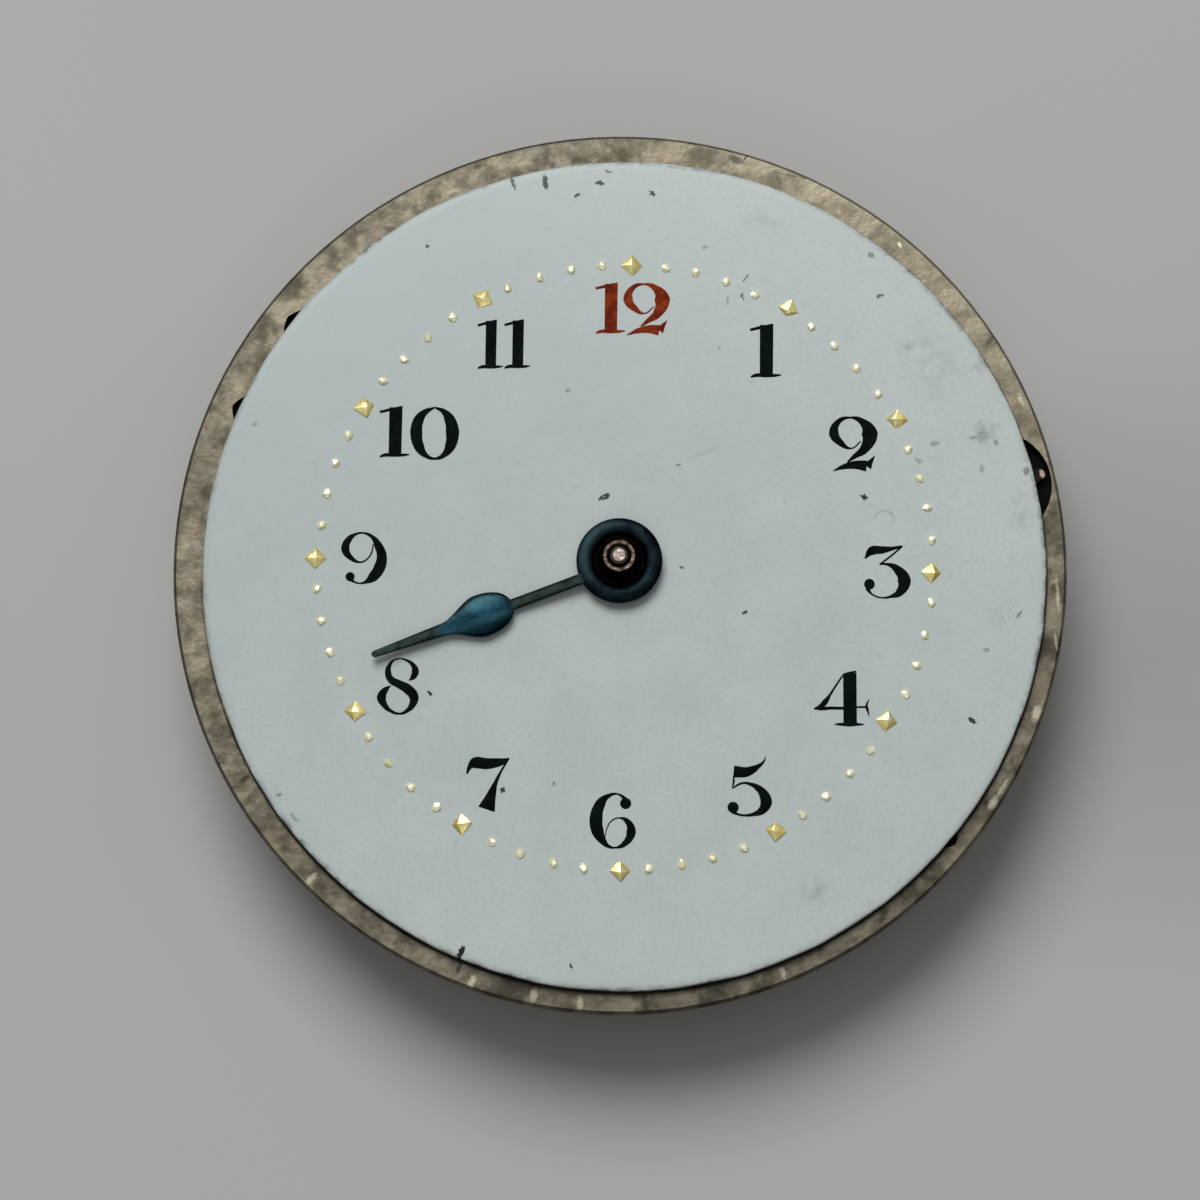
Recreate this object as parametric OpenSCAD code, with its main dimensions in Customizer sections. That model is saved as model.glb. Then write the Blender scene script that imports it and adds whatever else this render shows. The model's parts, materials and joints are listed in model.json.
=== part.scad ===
// Watch movement, dial side up: an enamel dial with one hour hand over a going train with lever
// escapement, winding wheels and motion work. The origin is on the centre arbor's axis, at the
// lowest plane of the bridge side. +Z is the dial side, +X is 3 o'clock and +Y is 12 o'clock.

/* [Plate and bridges] */
// outer radius of the rim flange that shows round the dial
flange_r = 14.65; // [14.2:0.05:15.5]
// radius of the plate's body, the seat of the case
body_r = 14.1; // [13.6:0.05:14.5]
// radius to which the bridges are turned
bridge_r = 13.7; // [13:0.05:14]
// height of the bridges' outer face
bridge_face_z = 0.25; // [0.2:0.05:0.4]
// height where the bridges meet the plate
joint_z = 1.25; // [1.1:0.05:1.5]
// underside of the rim flange
flange_z = 4.05; // [3.9:0.05:4.2]
// face of the plate under the dial
plate_top = 4.55; // [4.4:0.05:4.8]
// floor of the recesses on the dial side
dial_floor = 3.85; // [3.7:0.05:4]

/* [Dial and hand] */
// radius of the enamel dial
dial_r = 13.8; // [13.5:0.05:14]
// how far the dial lies off the centre, to the right and down
dial_shift = 0.15; // [0:0.05:0.3]
// how far the ring of markers lies off the dial's middle, to the right
marker_right = 0.04; // [0:0.01:0.1]
// how far the ring of markers lies off the dial's middle, upwards
marker_up = 0.13; // [0:0.01:0.2]
// height of the dome at its middle
dial_top = 5.3; // [5.1:0.05:5.5]
// fall of the dome from its middle to its edge
dome_drop = 0.29; // [0.1:0.01:0.5]
// radius of the dial's middle hole
dial_hole_r = 1.1; // [0.95:0.05:1.2]
// radius of the ring of hour diamonds and minute domes, the markers
pip_ring_r = 10.05; // [9.8:0.05:10.4]
// corner-to-corner size of an hour diamond
diamond_d = 0.72; // [0.6:0.02:0.9]
// radius of a minute dome
dome_r = 0.17; // [0.12:0.01:0.2]
// direction of the hour hand, counted from 3 o'clock against the clock
hand_angle = 202.3; // [0:0.1:360]
// distance of the hour hand's tip from the axis
hand_length = 8.55; // [8:0.05:9]
// widest half-width of the hand's bulb
bulb_half_w = 0.715; // [0.6:0.005:0.8]

/* [Going train] */
// teeth of the barrel, which drives the centre pinion
barrel_teeth = 80; // [80:1:80]
// leaves of the centre, third and fourth pinions
pinion_leaves = 10; // [10:1:10]
// teeth of the centre wheel
centre_teeth = 80; // [80:1:80]
// teeth of the third wheel
third_teeth = 75; // [75:1:75]
// teeth of the fourth wheel
fourth_teeth = 80; // [80:1:80]
// leaves of the escape pinion
escape_leaves = 8; // [8:1:8]
// teeth of the escape wheel
escape_teeth = 15; // [15:1:15]
// module of the barrel's teeth
barrel_m = 0.13; // [0.12:0.005:0.14]
// module of the centre wheel's teeth
centre_m = 0.09; // [0.08:0.005:0.1]
// module of the third wheel's teeth
third_m = 0.085; // [0.08:0.005:0.09]
// module of the fourth wheel's teeth
fourth_m = 0.075; // [0.07:0.005:0.08]
// direction of the barrel from the centre
barrel_angle = 77; // [70:1:85]
// direction of the third wheel from the centre
third_angle = 190; // [185:1:195]
// direction of the fourth wheel from the third
fourth_angle = -62; // [-66:1:-58]
// direction of the escape wheel from the fourth
escape_angle = -73; // [-76:1:-70]
// turns of the mainspring
mainspring_turns = 5.8; // [5:0.2:6]
// thickness of the mainspring
mainspring_t = 0.12; // [0.1:0.01:0.14]

/* [Escapement and balance] */
// radius of the escape wheel's tips
escape_r = 2.1; // [2:0.05:2.2]
// distance from the escape wheel to the pallet arbor
pallet_far = 2.42; // [2.4:0.01:2.45]
// distance from the escape wheel to the balance
balance_far = 5.72; // [5.6:0.01:5.8]
// outer radius of the balance rim
rim_r = 4.15; // [4:0.05:4.2]
// inner radius of the balance rim
rim_in_r = 3.72; // [3.6:0.02:3.8]
// screws in the balance rim
balance_screw_count = 14; // [12:2:16]
// radius of the hairspring's outer coil
hair_out_r = 3; // [2.9:0.05:3.1]
// radius of the hairspring's inner end
hair_in_r = 0.64; // [0.6:0.01:0.7]
// turns of the hairspring inside its outer arc
hair_turns = 4; // [3:1:4]
// thickness of the hairspring
hair_t = 0.05; // [0.04:0.01:0.06]
// direction of the hairspring stud from the balance
stud_angle = 200; // [190:5:210]
// direction of the regulator's pins from the balance
curb_angle = 240; // [230:5:250]
// direction of the regulator's tail from the balance
index_angle = 20; // [10:5:30]

/* [Motion work] */
// leaves of the cannon pinion
cannon_leaves = 12; // [12:1:12]
// teeth of the minute wheel
minute_teeth = 36; // [36:1:36]
// leaves of the minute pinion
minute_leaves = 10; // [10:1:10]
// teeth of the hour wheel
hour_teeth = 40; // [40:1:40]
// teeth of the setting wheel
setting_teeth = 28; // [28:1:28]
// module of the cannon pinion, minute wheel and setting wheel
motion_m = 0.11; // [0.1:0.005:0.12]
// distance of the setting wheel from the centre
setting_x = 5.41; // [5.3:0.01:5.5]

/* [Winding and setting] */
// teeth of the ratchet wheel
ratchet_teeth = 44; // [44:1:44]
// teeth of the crown wheel
crown_teeth = 34; // [34:1:34]
// teeth of the winding pinion
winding_teeth = 13; // [13:1:13]
// module of the winding wheels
winding_m = 0.2; // [0.2:0.01:0.2]
// height of the winding stem's axis
stem_z = 2.05; // [1.95:0.05:2.1]
// radius of the stem's bore in the plate's edge
stem_r = 0.6; // [0.5:0.05:0.7]
// dog teeth between the clutch and the winding pinion
dog_count = 8; // [6:1:10]

/* [Screws] */
// radius of a bridge screw's head
screw_head_r = 0.7; // [0.6:0.05:0.8]
// radius of a bridge screw's thread
screw_r = 0.38; // [0.3:0.01:0.4]
// radius of a small screw's head
small_head_r = 0.42; // [0.35:0.01:0.5]
// radius of a small screw's thread
small_screw_r = 0.22; // [0.2:0.01:0.25]
// radius of the two case screws' threads
case_screw_r = 0.4; // [0.35:0.01:0.45]

/* [Hidden] */
$fn = 96;
over = 0.05;
run = 0.02;
pivot_gap = 0.012;
arc_steps = 24;

// point at a radius and an angle, direction from one point to another
function polar(r, a) = [r * cos(a), r * sin(a)];
function bearing(p, q) = atan2(q[1] - p[1], q[0] - p[0]);

// distances between the axes of meshed wheels
function apart(m, z1, z2) = m * (z1 + z2) / 2;
minute_far = apart(motion_m, cannon_leaves, minute_teeth);
setting_far = apart(motion_m, minute_teeth, setting_teeth);
hour_m = 2 * minute_far / (minute_leaves + hour_teeth);
winding_far = apart(winding_m, ratchet_teeth, crown_teeth);

// axes in plan
centre_c = [0, 0];
barrel_c = polar(apart(barrel_m, barrel_teeth, pinion_leaves), barrel_angle);
third_c = polar(apart(centre_m, centre_teeth, pinion_leaves), third_angle);
fourth_c = third_c + polar(apart(third_m, third_teeth, pinion_leaves), fourth_angle);
escape_c = fourth_c + polar(apart(fourth_m, fourth_teeth, escape_leaves), escape_angle);
pallet_c = escape_c + [pallet_far, 0];
balance_c = escape_c + [balance_far, 0];
setting_c = [setting_x, 0];
minute_angle = -acos((pow(minute_far, 2) + pow(setting_x, 2) - pow(setting_far, 2))
    / (2 * minute_far * setting_x));
minute_c = polar(minute_far, minute_angle);
crown_c = [barrel_c[0] + sqrt(pow(winding_far, 2) - pow(barrel_c[1], 2)), 0];
dial_c = [dial_shift, -dial_shift];
lever_c = [10.3, 5.4];
finger_c = [8.83, 0.1];
nose_c = [13.22, 3.2];
nose_tip_c = [13.72, 3.46];
notch_c = polar(12.7, 13.85);
click_c = barrel_c + polar(6, 38);
beak_c = barrel_c + polar(4.86, 55);
click_spring_c = [1.6, 11.9];
click_spring_tip = [5.02, 10.33];
lever_spring_c = [6.3, 4.6];
lever_spring_tip = [7.93, 1.84];
cover_foot_c = [7.9, -3.3];

// feet and screws of the bridges and cocks
centre_foot_c = [-11.2, 1.3];
fourth_foot_c = [-7.6, -7.3];
escape_foot_c = [-3.44, -11.58];
balance_foot_c = [10.9, -6.2];
pallet_foot_x = 0.7;
pallet_foot_y = 2.95;
pallet_feet = [for (s = [-1, 1]) pallet_c + [pallet_foot_x, s * pallet_foot_y]];
barrel_screws = [[-8.2, 9.3], [8.3, 9.3], [11.9, -2.5]];
centre_screws = [[-11.3, 2.25], [-11.3, 0.25]];
cock_screws = [[-7.75, -7.45], escape_foot_c, [11.3, -6.4]];
bridge_screw_at = concat(barrel_screws, centre_screws, cock_screws);
case_screws = [polar(12.9, 160), polar(12.9, 318)];
foot_angles = [100, 280];
foot_ring_r = 12.4;
foot_r = 0.4;
foot_screw_z = 3.2;

// heights of wheels and pinions, each from its lower to its upper face
ratchet_z = [0, 0.4];
crown_z = [0, 0.75];
ratchet_sink_z = 0.45;
crown_sink_z = 0.8;
barrel_z = [1.68, 3.28];
barrel_teeth_z = [1.68, 2.06];
centre_z = [1.42, 1.56];
centre_pinion_z = [1.6, 2.14];
third_z = [2.98, 3.1];
third_pinion_z = [1.35, 1.8];
fourth_z = [2.2, 2.32];
fourth_pinion_z = [2.9, 3.2];
escape_z = [2.85, 3];
escape_pinion_z = [2.1, 2.45];
fork_z = [2.5, 2.7];
stone_z = [2.45, 2.82];
pallet_cock_z = [2.12, 2.42];
rim_z = [1.5, 1.98];
arm_z = [1.62, 1.8];
roller_z = [2.15, 2.3];
hair_z = [1.3, 1.42];
cock_face_z = 0.35;
cock_under_z = 1.15;
regulator_z = [0.17, 0.33];
cannon_z = [3.92, 4.18];
minute_z = [3.95, 4.15];
minute_pinion_z = [4.15, 4.52];
hour_z = [4.35, 4.5];
setting_z = [2.85, 4.14];
cover_z = [4.2, 4.42];
lever_z = [3.9, 4.18];
nose_top = 4.4;
hand_z = [5.6, 5.82];
cannon_shoulder_z = [5.66, 5.86];
cannon_top = 6.6;
arbor_top = 6.7;
pipe_top = 5.7;

// radii of arbors, pipes and drums
drum_r = 4.8;
drum_in_r = 4.5;
cover_r = 4.62;
core_r = 1.15;
barrel_pivot_r = 0.5;
barrel_shaft_r = 0.85;
barrel_neck_r = 0.75;
square_w = 1;
ratchet_tip = winding_m * (ratchet_teeth / 2 + 0.9);
crown_tip = winding_m * (crown_teeth / 2 + 0.9);
crown_core_r = 1;
arbor_r = 0.28;
centre_arbor_r = 0.42;
cannon_r = 0.68;
minute_seat_r = 0.51;
cannon_cup_r = 0.41;
cannon_cup_h = 0.15;
cannon_neck_h = 0.12;
pipe_in_r = 0.71;
pipe_r = 0.82;
boss_r = 1.4;
post_r = 0.3;
setting_post_r = 0.4;
shoulder_r = 0.4;
jewel_r = 0.45;
escape_jewel_r = 0.4;
balance_jewel_r = 0.5;
cap_jewel_r = 0.42;
staff_r = 0.28;
staff_pivot_r = 0.055;
pallet_pivot_r = 0.05;
end_piece_r = 0.8;
curb_r = 0.05;
curb_play = 0.02;
impulse_r = 0.09;
impulse_far = 0.72;
winding_pitch_r = winding_m * winding_teeth / 2;
winding_tip_r = winding_pitch_r + 0.08;
clutch_r = 1.05;
groove_r = 0.7;

// along the stem, from the middle outwards
clutch_in_x = 7.7;
clutch_x = [7.98, 9.5];
groove_x = [8.6, 9.05];
dog_gap = 0.04;
dog_h = 0.3;
winding_x = [9.84, 11.2];
winding_hub_x = 11.6;
slot_x = [6.95, 13];
slot_half_w = 1.5;
slot_top = 3.5;

// circle arc outline round two circles of different radii
function stadium(a, ra, b, rb) =
    let (d = norm(b - a), t = bearing(a, b), p = acos((ra - rb) / d))
    concat(
        [for (i = [0:arc_steps]) b + polar(rb, t - p + 2 * p * i / arc_steps)],
        [for (i = [0:arc_steps]) a + polar(ra, t + p + (360 - 2 * p) * i / arc_steps)]);

// outline with each corner turned to a radius
function unit(v) = v / norm(v);
function corner(p, c, n, r) =
    let (u = unit(p - c), v = unit(n - c), half = acos(u * v) / 2,
        m = c + unit(u + v) * r / sin(half),
        a = bearing(m, c + u * r / tan(half)), b = bearing(m, c + v * r / tan(half)),
        sweep = b - a > 180 ? b - a - 360 : b - a < -180 ? b - a + 360 : b - a)
    [for (i = [0:8]) m + polar(r, a + sweep * i / 8)];
function rounded(pts, r) =
    [for (i = [0:len(pts) - 1])
        each corner(pts[(i + len(pts) - 1) % len(pts)], pts[i], pts[(i + 1) % len(pts)], r)];

// outline of a toothed wheel: radial flanks up to the pitch circle, then a narrowing tip
tip_share = 0.34;
function tooth(rp, add, ded, half, a) = [
    polar(rp - ded, a - half), polar(rp, a - half), polar(rp + add, a - half * tip_share),
    polar(rp + add, a + half * tip_share), polar(rp, a + half), polar(rp - ded, a + half)];
function gear(z, m, fill, add, ded, phase) =
    [for (i = [0:z - 1])
        each tooth(m * z / 2, add * m, ded * m, fill * 180 / z, phase + i * 360 / z)];
function wheel_teeth(z, m, phase) = gear(z, m, 0.46, 1.2, 1.3, phase);
function pinion_teeth(z, m, phase) = gear(z, m, 0.36, 0.6, 1.5, phase);
function winding_wheel(z, phase) = gear(z, winding_m, 0.44, 0.9, 1.15, phase);

// phase of a wheel whose tooth points at another axis, and of the wheel whose gap receives it
function tooth_at(c, other) = bearing(c, other);
function gap_at(c, other, z) = bearing(c, other) + 180 / z;

// spiral ribbon: its outer arc keeps its radius for a while, then it winds in at a steady rate
function coil_r(a, r_out, r_in, sweep, hold) =
    a < hold ? r_out : r_out - (r_out - r_in) * (a - hold) / (sweep - hold);
function ribbon(r_out, r_in, sweep, hold, t, start, way, step) = concat(
    [for (a = [0:step:sweep]) polar(coil_r(a, r_out, r_in, sweep, hold) + t / 2, start + way * a)],
    [for (a = [sweep:-step:0]) polar(coil_r(a, r_out, r_in, sweep, hold) - t / 2, start + way * a)]);
function least_gap(r_out, r_in, sweep, hold, t, step) =
    min([for (a = [0:step:sweep - 360])
        coil_r(a, r_out, r_in, sweep, hold) - coil_r(a + 360, r_out, r_in, sweep, hold) - t]);

// the two springs' windings
hair_hold = 80;
hair_step = 8;
hair_sweep = hair_hold + 360 * hair_turns;
main_out_r = 4.38;
main_in_r = 1.25;
main_step = 12;
main_sweep = 360 * mainspring_turns;
echo(hairspring_least_gap = least_gap(hair_out_r, hair_in_r, hair_sweep, hair_hold, hair_t, hair_step));
echo(mainspring_least_gap = least_gap(main_out_r, main_in_r, main_sweep, 0, mainspring_t, main_step));

// height of the dial's dome at a radius from the dial's own middle
function dome_z(r) = dial_top - dome_drop * pow(r / dial_r, 2);

// half-width of the hour hand at a distance from its axis
bulb_start = 3.68;
bulb_wide = 4.73;
bulb_end = 6.18;
shank_half_w = 0.18;
tip_half_w = 0.1;
neck_half_w = 0.2;
function hand_half_w(s) =
    s < bulb_start ? shank_half_w
    : s < bulb_wide ? shank_half_w + (bulb_half_w - shank_half_w)
        * sqrt(1 - pow((bulb_wide - s) / (bulb_wide - bulb_start), 2))
    : s < bulb_end ? neck_half_w + (bulb_half_w - neck_half_w)
        * (1 + cos(180 * (s - bulb_wide) / (bulb_end - bulb_wide))) / 2
    : neck_half_w + (tip_half_w - neck_half_w) * (s - bulb_end) / (hand_length - bulb_end);

// sinks turned into the plate's back: axis, radius and depth
back_sinks = [
    [centre_c, 3.85, 1.64], [centre_c, 1, 2.22],
    [barrel_c, 5.52, 2.16], [barrel_c, 4.95, 3.36],
    [third_c, 3.45, 3.25],
    [fourth_c, 3.25, 2.55], [fourth_c, 0.75, 3.35],
    [escape_c, 2.3, 3.2],
    [balance_c, 4.75, 2.42], [balance_c, 1.35, 2.95],
    [pallet_c, 1.65, 2.95]];

// sinks turned into the plate's dial side: axis, radius and floor
front_sinks = [
    [centre_c, 2.45, dial_floor], [minute_c, 2.3, dial_floor],
    [setting_c, 1.75, 2.8], [barrel_c, 1.2, dial_floor],
    [third_c, 0.9, 3.75], [fourth_c, 0.9, 3.85], [escape_c, 0.9, 3.7],
    [pallet_c, 0.8, 3.5], [balance_c, 1, 3.55]];

// opening in the rim for the setting lever's nose: its floor in the body, the thin web left of the flange
// beyond the body's pocket, and the wall left round that pocket
notch_r = 1.8;
notch_floor = 3.7;
notch_web = 0.08;
pocket_wall = 0.1;

// holes through the plate for jewels: axis and radius
plate_jewel_at = [
    [third_c, jewel_r], [fourth_c, jewel_r], [escape_c, escape_jewel_r],
    [pallet_c, escape_jewel_r], [balance_c, balance_jewel_r]];

// building blocks
module disc(c, r, z0, z1) {
    translate([c[0], c[1], z0]) cylinder(r = r, h = z1 - z0);
}

module slab(z) {
    translate([0, 0, z[0]]) linear_extrude(z[1] - z[0]) children();
}

module ring(c, r_out, r_in, z) {
    slab(z) translate(c) difference() {
        circle(r_out);
        circle(r_in);
    }
}

module along_x(r, x0, x1) {
    translate([x0, 0, stem_z]) rotate([0, 90, 0]) cylinder(r = r, h = x1 - x0);
}

module finger(a, ra, b, rb) {
    polygon(stadium(a, ra, b, rb));
}

// screw with its slotted head's face at face_z, running up (way 1) or down (way -1)
module screw(c, face_z, way, head_r, head_h, shaft_r, length) {
    slot_w = head_r * 0.3;
    slot_h = head_h * 0.4;
    translate([c[0], c[1], face_z]) mirror([0, 0, way < 0 ? 1 : 0]) difference() {
        union() {
            cylinder(r = head_r, h = head_h);
            cylinder(r = shaft_r, h = length);
        }
        translate([-head_r - over, -slot_w / 2, -over]) cube([2 * head_r + 2 * over, slot_w, slot_h + over]);
    }
}

// spoked wheel in plan, with its teeth's outline, window and bore
module spoked(c, outline, rim_in, hub_r, arm_w, arms, bore_r, turn) {
    translate(c) difference() {
        polygon(outline);
        difference() {
            circle(rim_in);
            circle(hub_r);
            for (i = [0:arms - 1]) rotate(turn + i * 360 / arms) translate([0, -arm_w / 2])
                square([rim_in + over, arm_w]);
        }
        circle(bore_r);
    }
}

module pinion(c, z, m, phase, heights) {
    slab(heights) translate(c) polygon(pinion_teeth(z, m, phase));
}

// pallet stone in plan, seen from the escape wheel's axis
stone_w = 0.22;
module stone(side, heights) {
    slab(heights) translate(escape_c) rotate(side * 30) translate([escape_r - 0.06, -stone_w / 2])
        square([0.66, stone_w]);
}

// plate
module plate_body() {
    bevel = 0.1;
    rotate_extrude() polygon([
        [0, joint_z], [body_r - 2 * bevel, joint_z], [body_r, joint_z + 2 * bevel], [body_r, flange_z],
        [flange_r, flange_z], [flange_r, plate_top - bevel], [flange_r - bevel, plate_top],
        [0, plate_top]]);
}

// way of the clutch and the winding pinion, open to the bridge side, with the stem's bore
module keyless_slot() {
    translate([slot_x[0], -slot_half_w, joint_z - over])
        cube([slot_x[1] - slot_x[0], 2 * slot_half_w, slot_top - joint_z + over]);
    along_x(stem_r, slot_x[1] - over, flange_r + over);
}

// recess that the setting lever swings in, with the window for its finger
module lever_recess() {
    swing = [-0.3, 0];
    slab([dial_floor, plate_top + over]) {
        translate(lever_c) circle(1.32);
        finger(lever_c, 1.2, finger_c + swing, 1.15);
        finger(lever_c, 1.2, nose_c, 0.65);
    }
    translate([7.9, -0.5, slot_top - over]) cube([1.4, 1.4, plate_top - slot_top]);
}

// opening in the rim, whose deep part stays inside the body
module rim_notch() {
    disc(notch_c, notch_r, flange_z + notch_web, plate_top + over);
    intersection() {
        union() {
            disc(notch_c, notch_r, notch_floor, plate_top);
            lever_recess();
        }
        disc(centre_c, body_r - pocket_wall, slot_top - over, plate_top + over);
    }
}

module spring_recess() {
    slab([dial_floor, plate_top + over]) {
        finger(lever_spring_c, 0.95, lever_spring_tip, 0.4);
        translate(lever_spring_c) circle(1);
    }
}

module cover_recess() {
    slab([cover_z[0], plate_top + over]) finger(setting_c, 1.5, cover_foot_c, 1.1);
}

module dial_foot_at(a, r, z0, z1) {
    disc(dial_c + polar(foot_ring_r, a), r, z0, z1);
}

// hole or screw that runs in radially from the plate's edge to a dial foot
module from_edge(a, r, r0, r1) {
    translate([dial_c[0], dial_c[1], foot_screw_z]) rotate([0, 0, a]) translate([r0, 0, 0])
        rotate([0, 90, 0]) cylinder(r = r, h = r1 - r0);
}

// shallow nicks in the rim beside the dial's edge: angle, radius of that edge and half-width
nick_at = [[144, 13.63, 0.55], [158.4, 13.65, 0.45], [321.5, 13.97, 0.4]];
nick_reach = 0.24;
module nicks() {
    for (n = nick_at) rotate(n[0]) slab([plate_top - 0.3, plate_top + over]) polygon([
        for (p = [[-0.3, 1], [0, 1], [0.65, 0.5], [1, 0.1]]) [n[1] + p[0] * nick_reach, -p[1] * n[2]],
        for (p = [[1, 0.1], [0.65, 0.5], [0, 1], [-0.3, 1]]) [n[1] + p[0] * nick_reach, p[1] * n[2]]]);
}

banking_x = 1.9;
banking_y = 0.4;
banking_r = 0.08;
banking_at = [for (s = [-1, 1]) pallet_c + [banking_x, s * banking_y]];
screw_tip_z = 2.7;
main_floor_z = 2.95;

module main_plate() color("#9a9080") difference() {
    plate_body();
    for (s = back_sinks) disc(s[0], s[1], joint_z - over, s[2]);
    for (s = front_sinks) disc(s[0], s[1], s[2], plate_top + over);
    for (j = plate_jewel_at) disc(j[0], j[1], joint_z, plate_top + over);
    slab([joint_z - over, main_floor_z]) finger(pallet_c, 0.95, balance_c, 0.95);
    disc(centre_c, centre_arbor_r + run, joint_z, plate_top + over);
    disc(barrel_c, barrel_pivot_r + run, joint_z, plate_top + over);
    keyless_slot();
    rim_notch();
    spring_recess();
    cover_recess();
    nicks();
    for (p = bridge_screw_at) disc(p, screw_r, joint_z - over, screw_tip_z);
    for (p = pallet_feet) disc(p, small_screw_r, pallet_cock_z[1] - over, 3.1);
    for (p = banking_at) disc(p, banking_r, main_floor_z - over, 3.25);
    for (p = case_screws) disc(p, case_screw_r, joint_z - over, joint_z + 1.5);
    disc(minute_c, post_r, 3.2, dial_floor + over);
    disc(setting_c, setting_post_r, 2.3, 2.8 + over);
    disc(cover_foot_c, small_screw_r, 3.3, plate_top);
    disc(lever_spring_c, small_screw_r, 3.4, plate_top);
    disc(lever_c, post_r, 3, dial_floor + over);
    for (a = foot_angles) {
        dial_foot_at(a, foot_r + run, 2.4, plate_top + over);
        from_edge(a, 0.52, 13.3, flange_r + over);
        from_edge(a, small_screw_r, 12.4, 13.4);
    }
}

// dial
module enamel_dial() color("#dfe0da") translate([dial_c[0], dial_c[1], 0]) rotate_extrude() {
    edge_r = 0.22;
    edge_c = [dial_r - edge_r, dome_z(dial_r) - edge_r];
    under_r = 12.2;
    under_rise = 0.27;
    dome_steps = 20;
    polygon(concat(
        [for (i = [0:dome_steps])
            let (r = dial_hole_r + (under_r - dial_hole_r) * i / dome_steps)
            [r, plate_top + under_rise * (1 - pow(r / under_r, 2))]],
        [[edge_c[0], plate_top]],
        [for (a = [-75:15:90]) edge_c + polar(edge_r, a)],
        [for (i = [dome_steps:-1:0])
            let (r = dial_hole_r + (edge_c[0] - dial_hole_r) * i / dome_steps)
            if (i < dome_steps) [r, dome_z(r)]]));
}

module dial_feet() color("#b0704a") for (a = foot_angles) dial_foot_at(a, foot_r, 2.5, plate_top);

// markers, pressed a little way into the enamel at a minute's place on their ring
pip_sunk = 0.03;
diamond_h = 0.15;
module marker(minute) {
    off = [marker_right, marker_up] + polar(pip_ring_r, minute * 6);
    translate([dial_c[0] + off[0], dial_c[1] + off[1], dome_z(norm(off)) - pip_sunk])
        rotate(minute * 6) children();
}

module roof() {
    half = diamond_d / 2 / sqrt(2);
    rotate([90, 0, 0]) linear_extrude(diamond_d, center = true)
        polygon([[-half, 0], [half, 0], [half, pip_sunk], [0, diamond_h], [-half, pip_sunk]]);
}

module hour_pips() color("#c9a24a") for (i = [0:5:55]) marker(i) rotate(45) intersection() {
    roof();
    rotate(90) roof();
}

module minute_pips() color("#c9a24a") for (i = [0:59]) if (i % 5 != 0) marker(i) intersection() {
    sphere(r = dome_r);
    cylinder(r = 2 * dome_r, h = 2 * dome_r);
}

// hour hand
module hour_hand() color("#2a5a6e") {
    steps = 60;
    from_s = boss_r - 0.2;
    along = [for (i = [0:steps]) from_s + (hand_length - tip_half_w - from_s) * i / steps];
    slab(hand_z) difference() {
        union() {
            circle(boss_r);
            rotate(hand_angle) {
                polygon(concat([for (s = along) [s, -hand_half_w(s)]],
                    [for (i = [steps:-1:0]) [along[i], hand_half_w(along[i])]]));
                translate([hand_length - tip_half_w - 0.01, 0]) circle(tip_half_w);
            }
        }
        circle(pipe_r);
    }
}

// motion work
module cannon_pinion() color("#b9b4a6") {
    bore_r = arbor_r + run / 2;
    cup_slope = (cannon_cup_r - bore_r) / cannon_cup_h;
    difference() {
        union() {
            pinion(centre_c, cannon_leaves, motion_m, gap_at(centre_c, minute_c, cannon_leaves), cannon_z);
            rotate_extrude() polygon([
                [0, cannon_z[1] - run], [minute_seat_r, cannon_z[1] - run], [cannon_r, cannon_z[1] + cannon_neck_h],
                [cannon_r, cannon_shoulder_z[0]], [minute_seat_r, cannon_shoulder_z[1]],
                [minute_seat_r, cannon_top], [0, cannon_top]]);
        }
        disc(centre_c, bore_r, cannon_z[0] - over, cannon_top + over);
        translate([0, 0, cannon_top - cannon_cup_h])
            cylinder(r1 = bore_r, r2 = cannon_cup_r + cup_slope * over, h = cannon_cup_h + over);
    }
}

module minute_wheel() color("#c7a55c") difference() {
    union() {
        slab(minute_z) spoked(minute_c, wheel_teeth(minute_teeth, motion_m, tooth_at(minute_c, centre_c)),
            1.5, 0.75, 0.35, 4, 0.2, 20);
        pinion(minute_c, minute_leaves, hour_m, gap_at(minute_c, centre_c, minute_leaves), minute_pinion_z);
    }
    disc(minute_c, post_r + run, minute_z[0] - over, minute_pinion_z[1] + over);
}

module hour_wheel() color("#c7a55c") difference() {
    union() {
        slab(hour_z) translate(centre_c)
            polygon(wheel_teeth(hour_teeth, hour_m, tooth_at(centre_c, minute_c)));
        disc(centre_c, pipe_r, hour_z[0], pipe_top);
    }
    disc(centre_c, pipe_in_r, hour_z[0] - over, pipe_top + over);
}

// the setting wheel's mesh with the minute wheel starts from the minute wheel's own phase
minute_pitch = 360 / minute_teeth;
minute_off = (bearing(minute_c, setting_c) - bearing(minute_c, centre_c)) / minute_pitch;
minute_part = minute_off - floor(minute_off);
setting_phase = bearing(setting_c, minute_c) + (0.5 + minute_part) * 360 / setting_teeth;
module setting_wheel() color("#8f9296") difference() {
    slab(setting_z) translate(setting_c) polygon(wheel_teeth(setting_teeth, motion_m, setting_phase));
    disc(setting_c, setting_post_r + run, setting_z[0] - over, setting_z[1] + over);
}

module plate_pins() color("#8f9296") {
    disc(minute_c, post_r, 3.2, minute_pinion_z[1]);
    disc(setting_c, setting_post_r, 2.3, cover_z[1]);
    for (p = banking_at) disc(p, banking_r, 2.45, 3.25);
}

module setting_cover() color("#a3a09a") difference() {
    slab(cover_z) finger(setting_c, 1.3, cover_foot_c, 0.9);
    disc(setting_c, setting_post_r, cover_z[0] - over, cover_z[1] + over);
    disc(cover_foot_c, small_screw_r + run, cover_z[0] - over, cover_z[1] + over);
}

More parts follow.
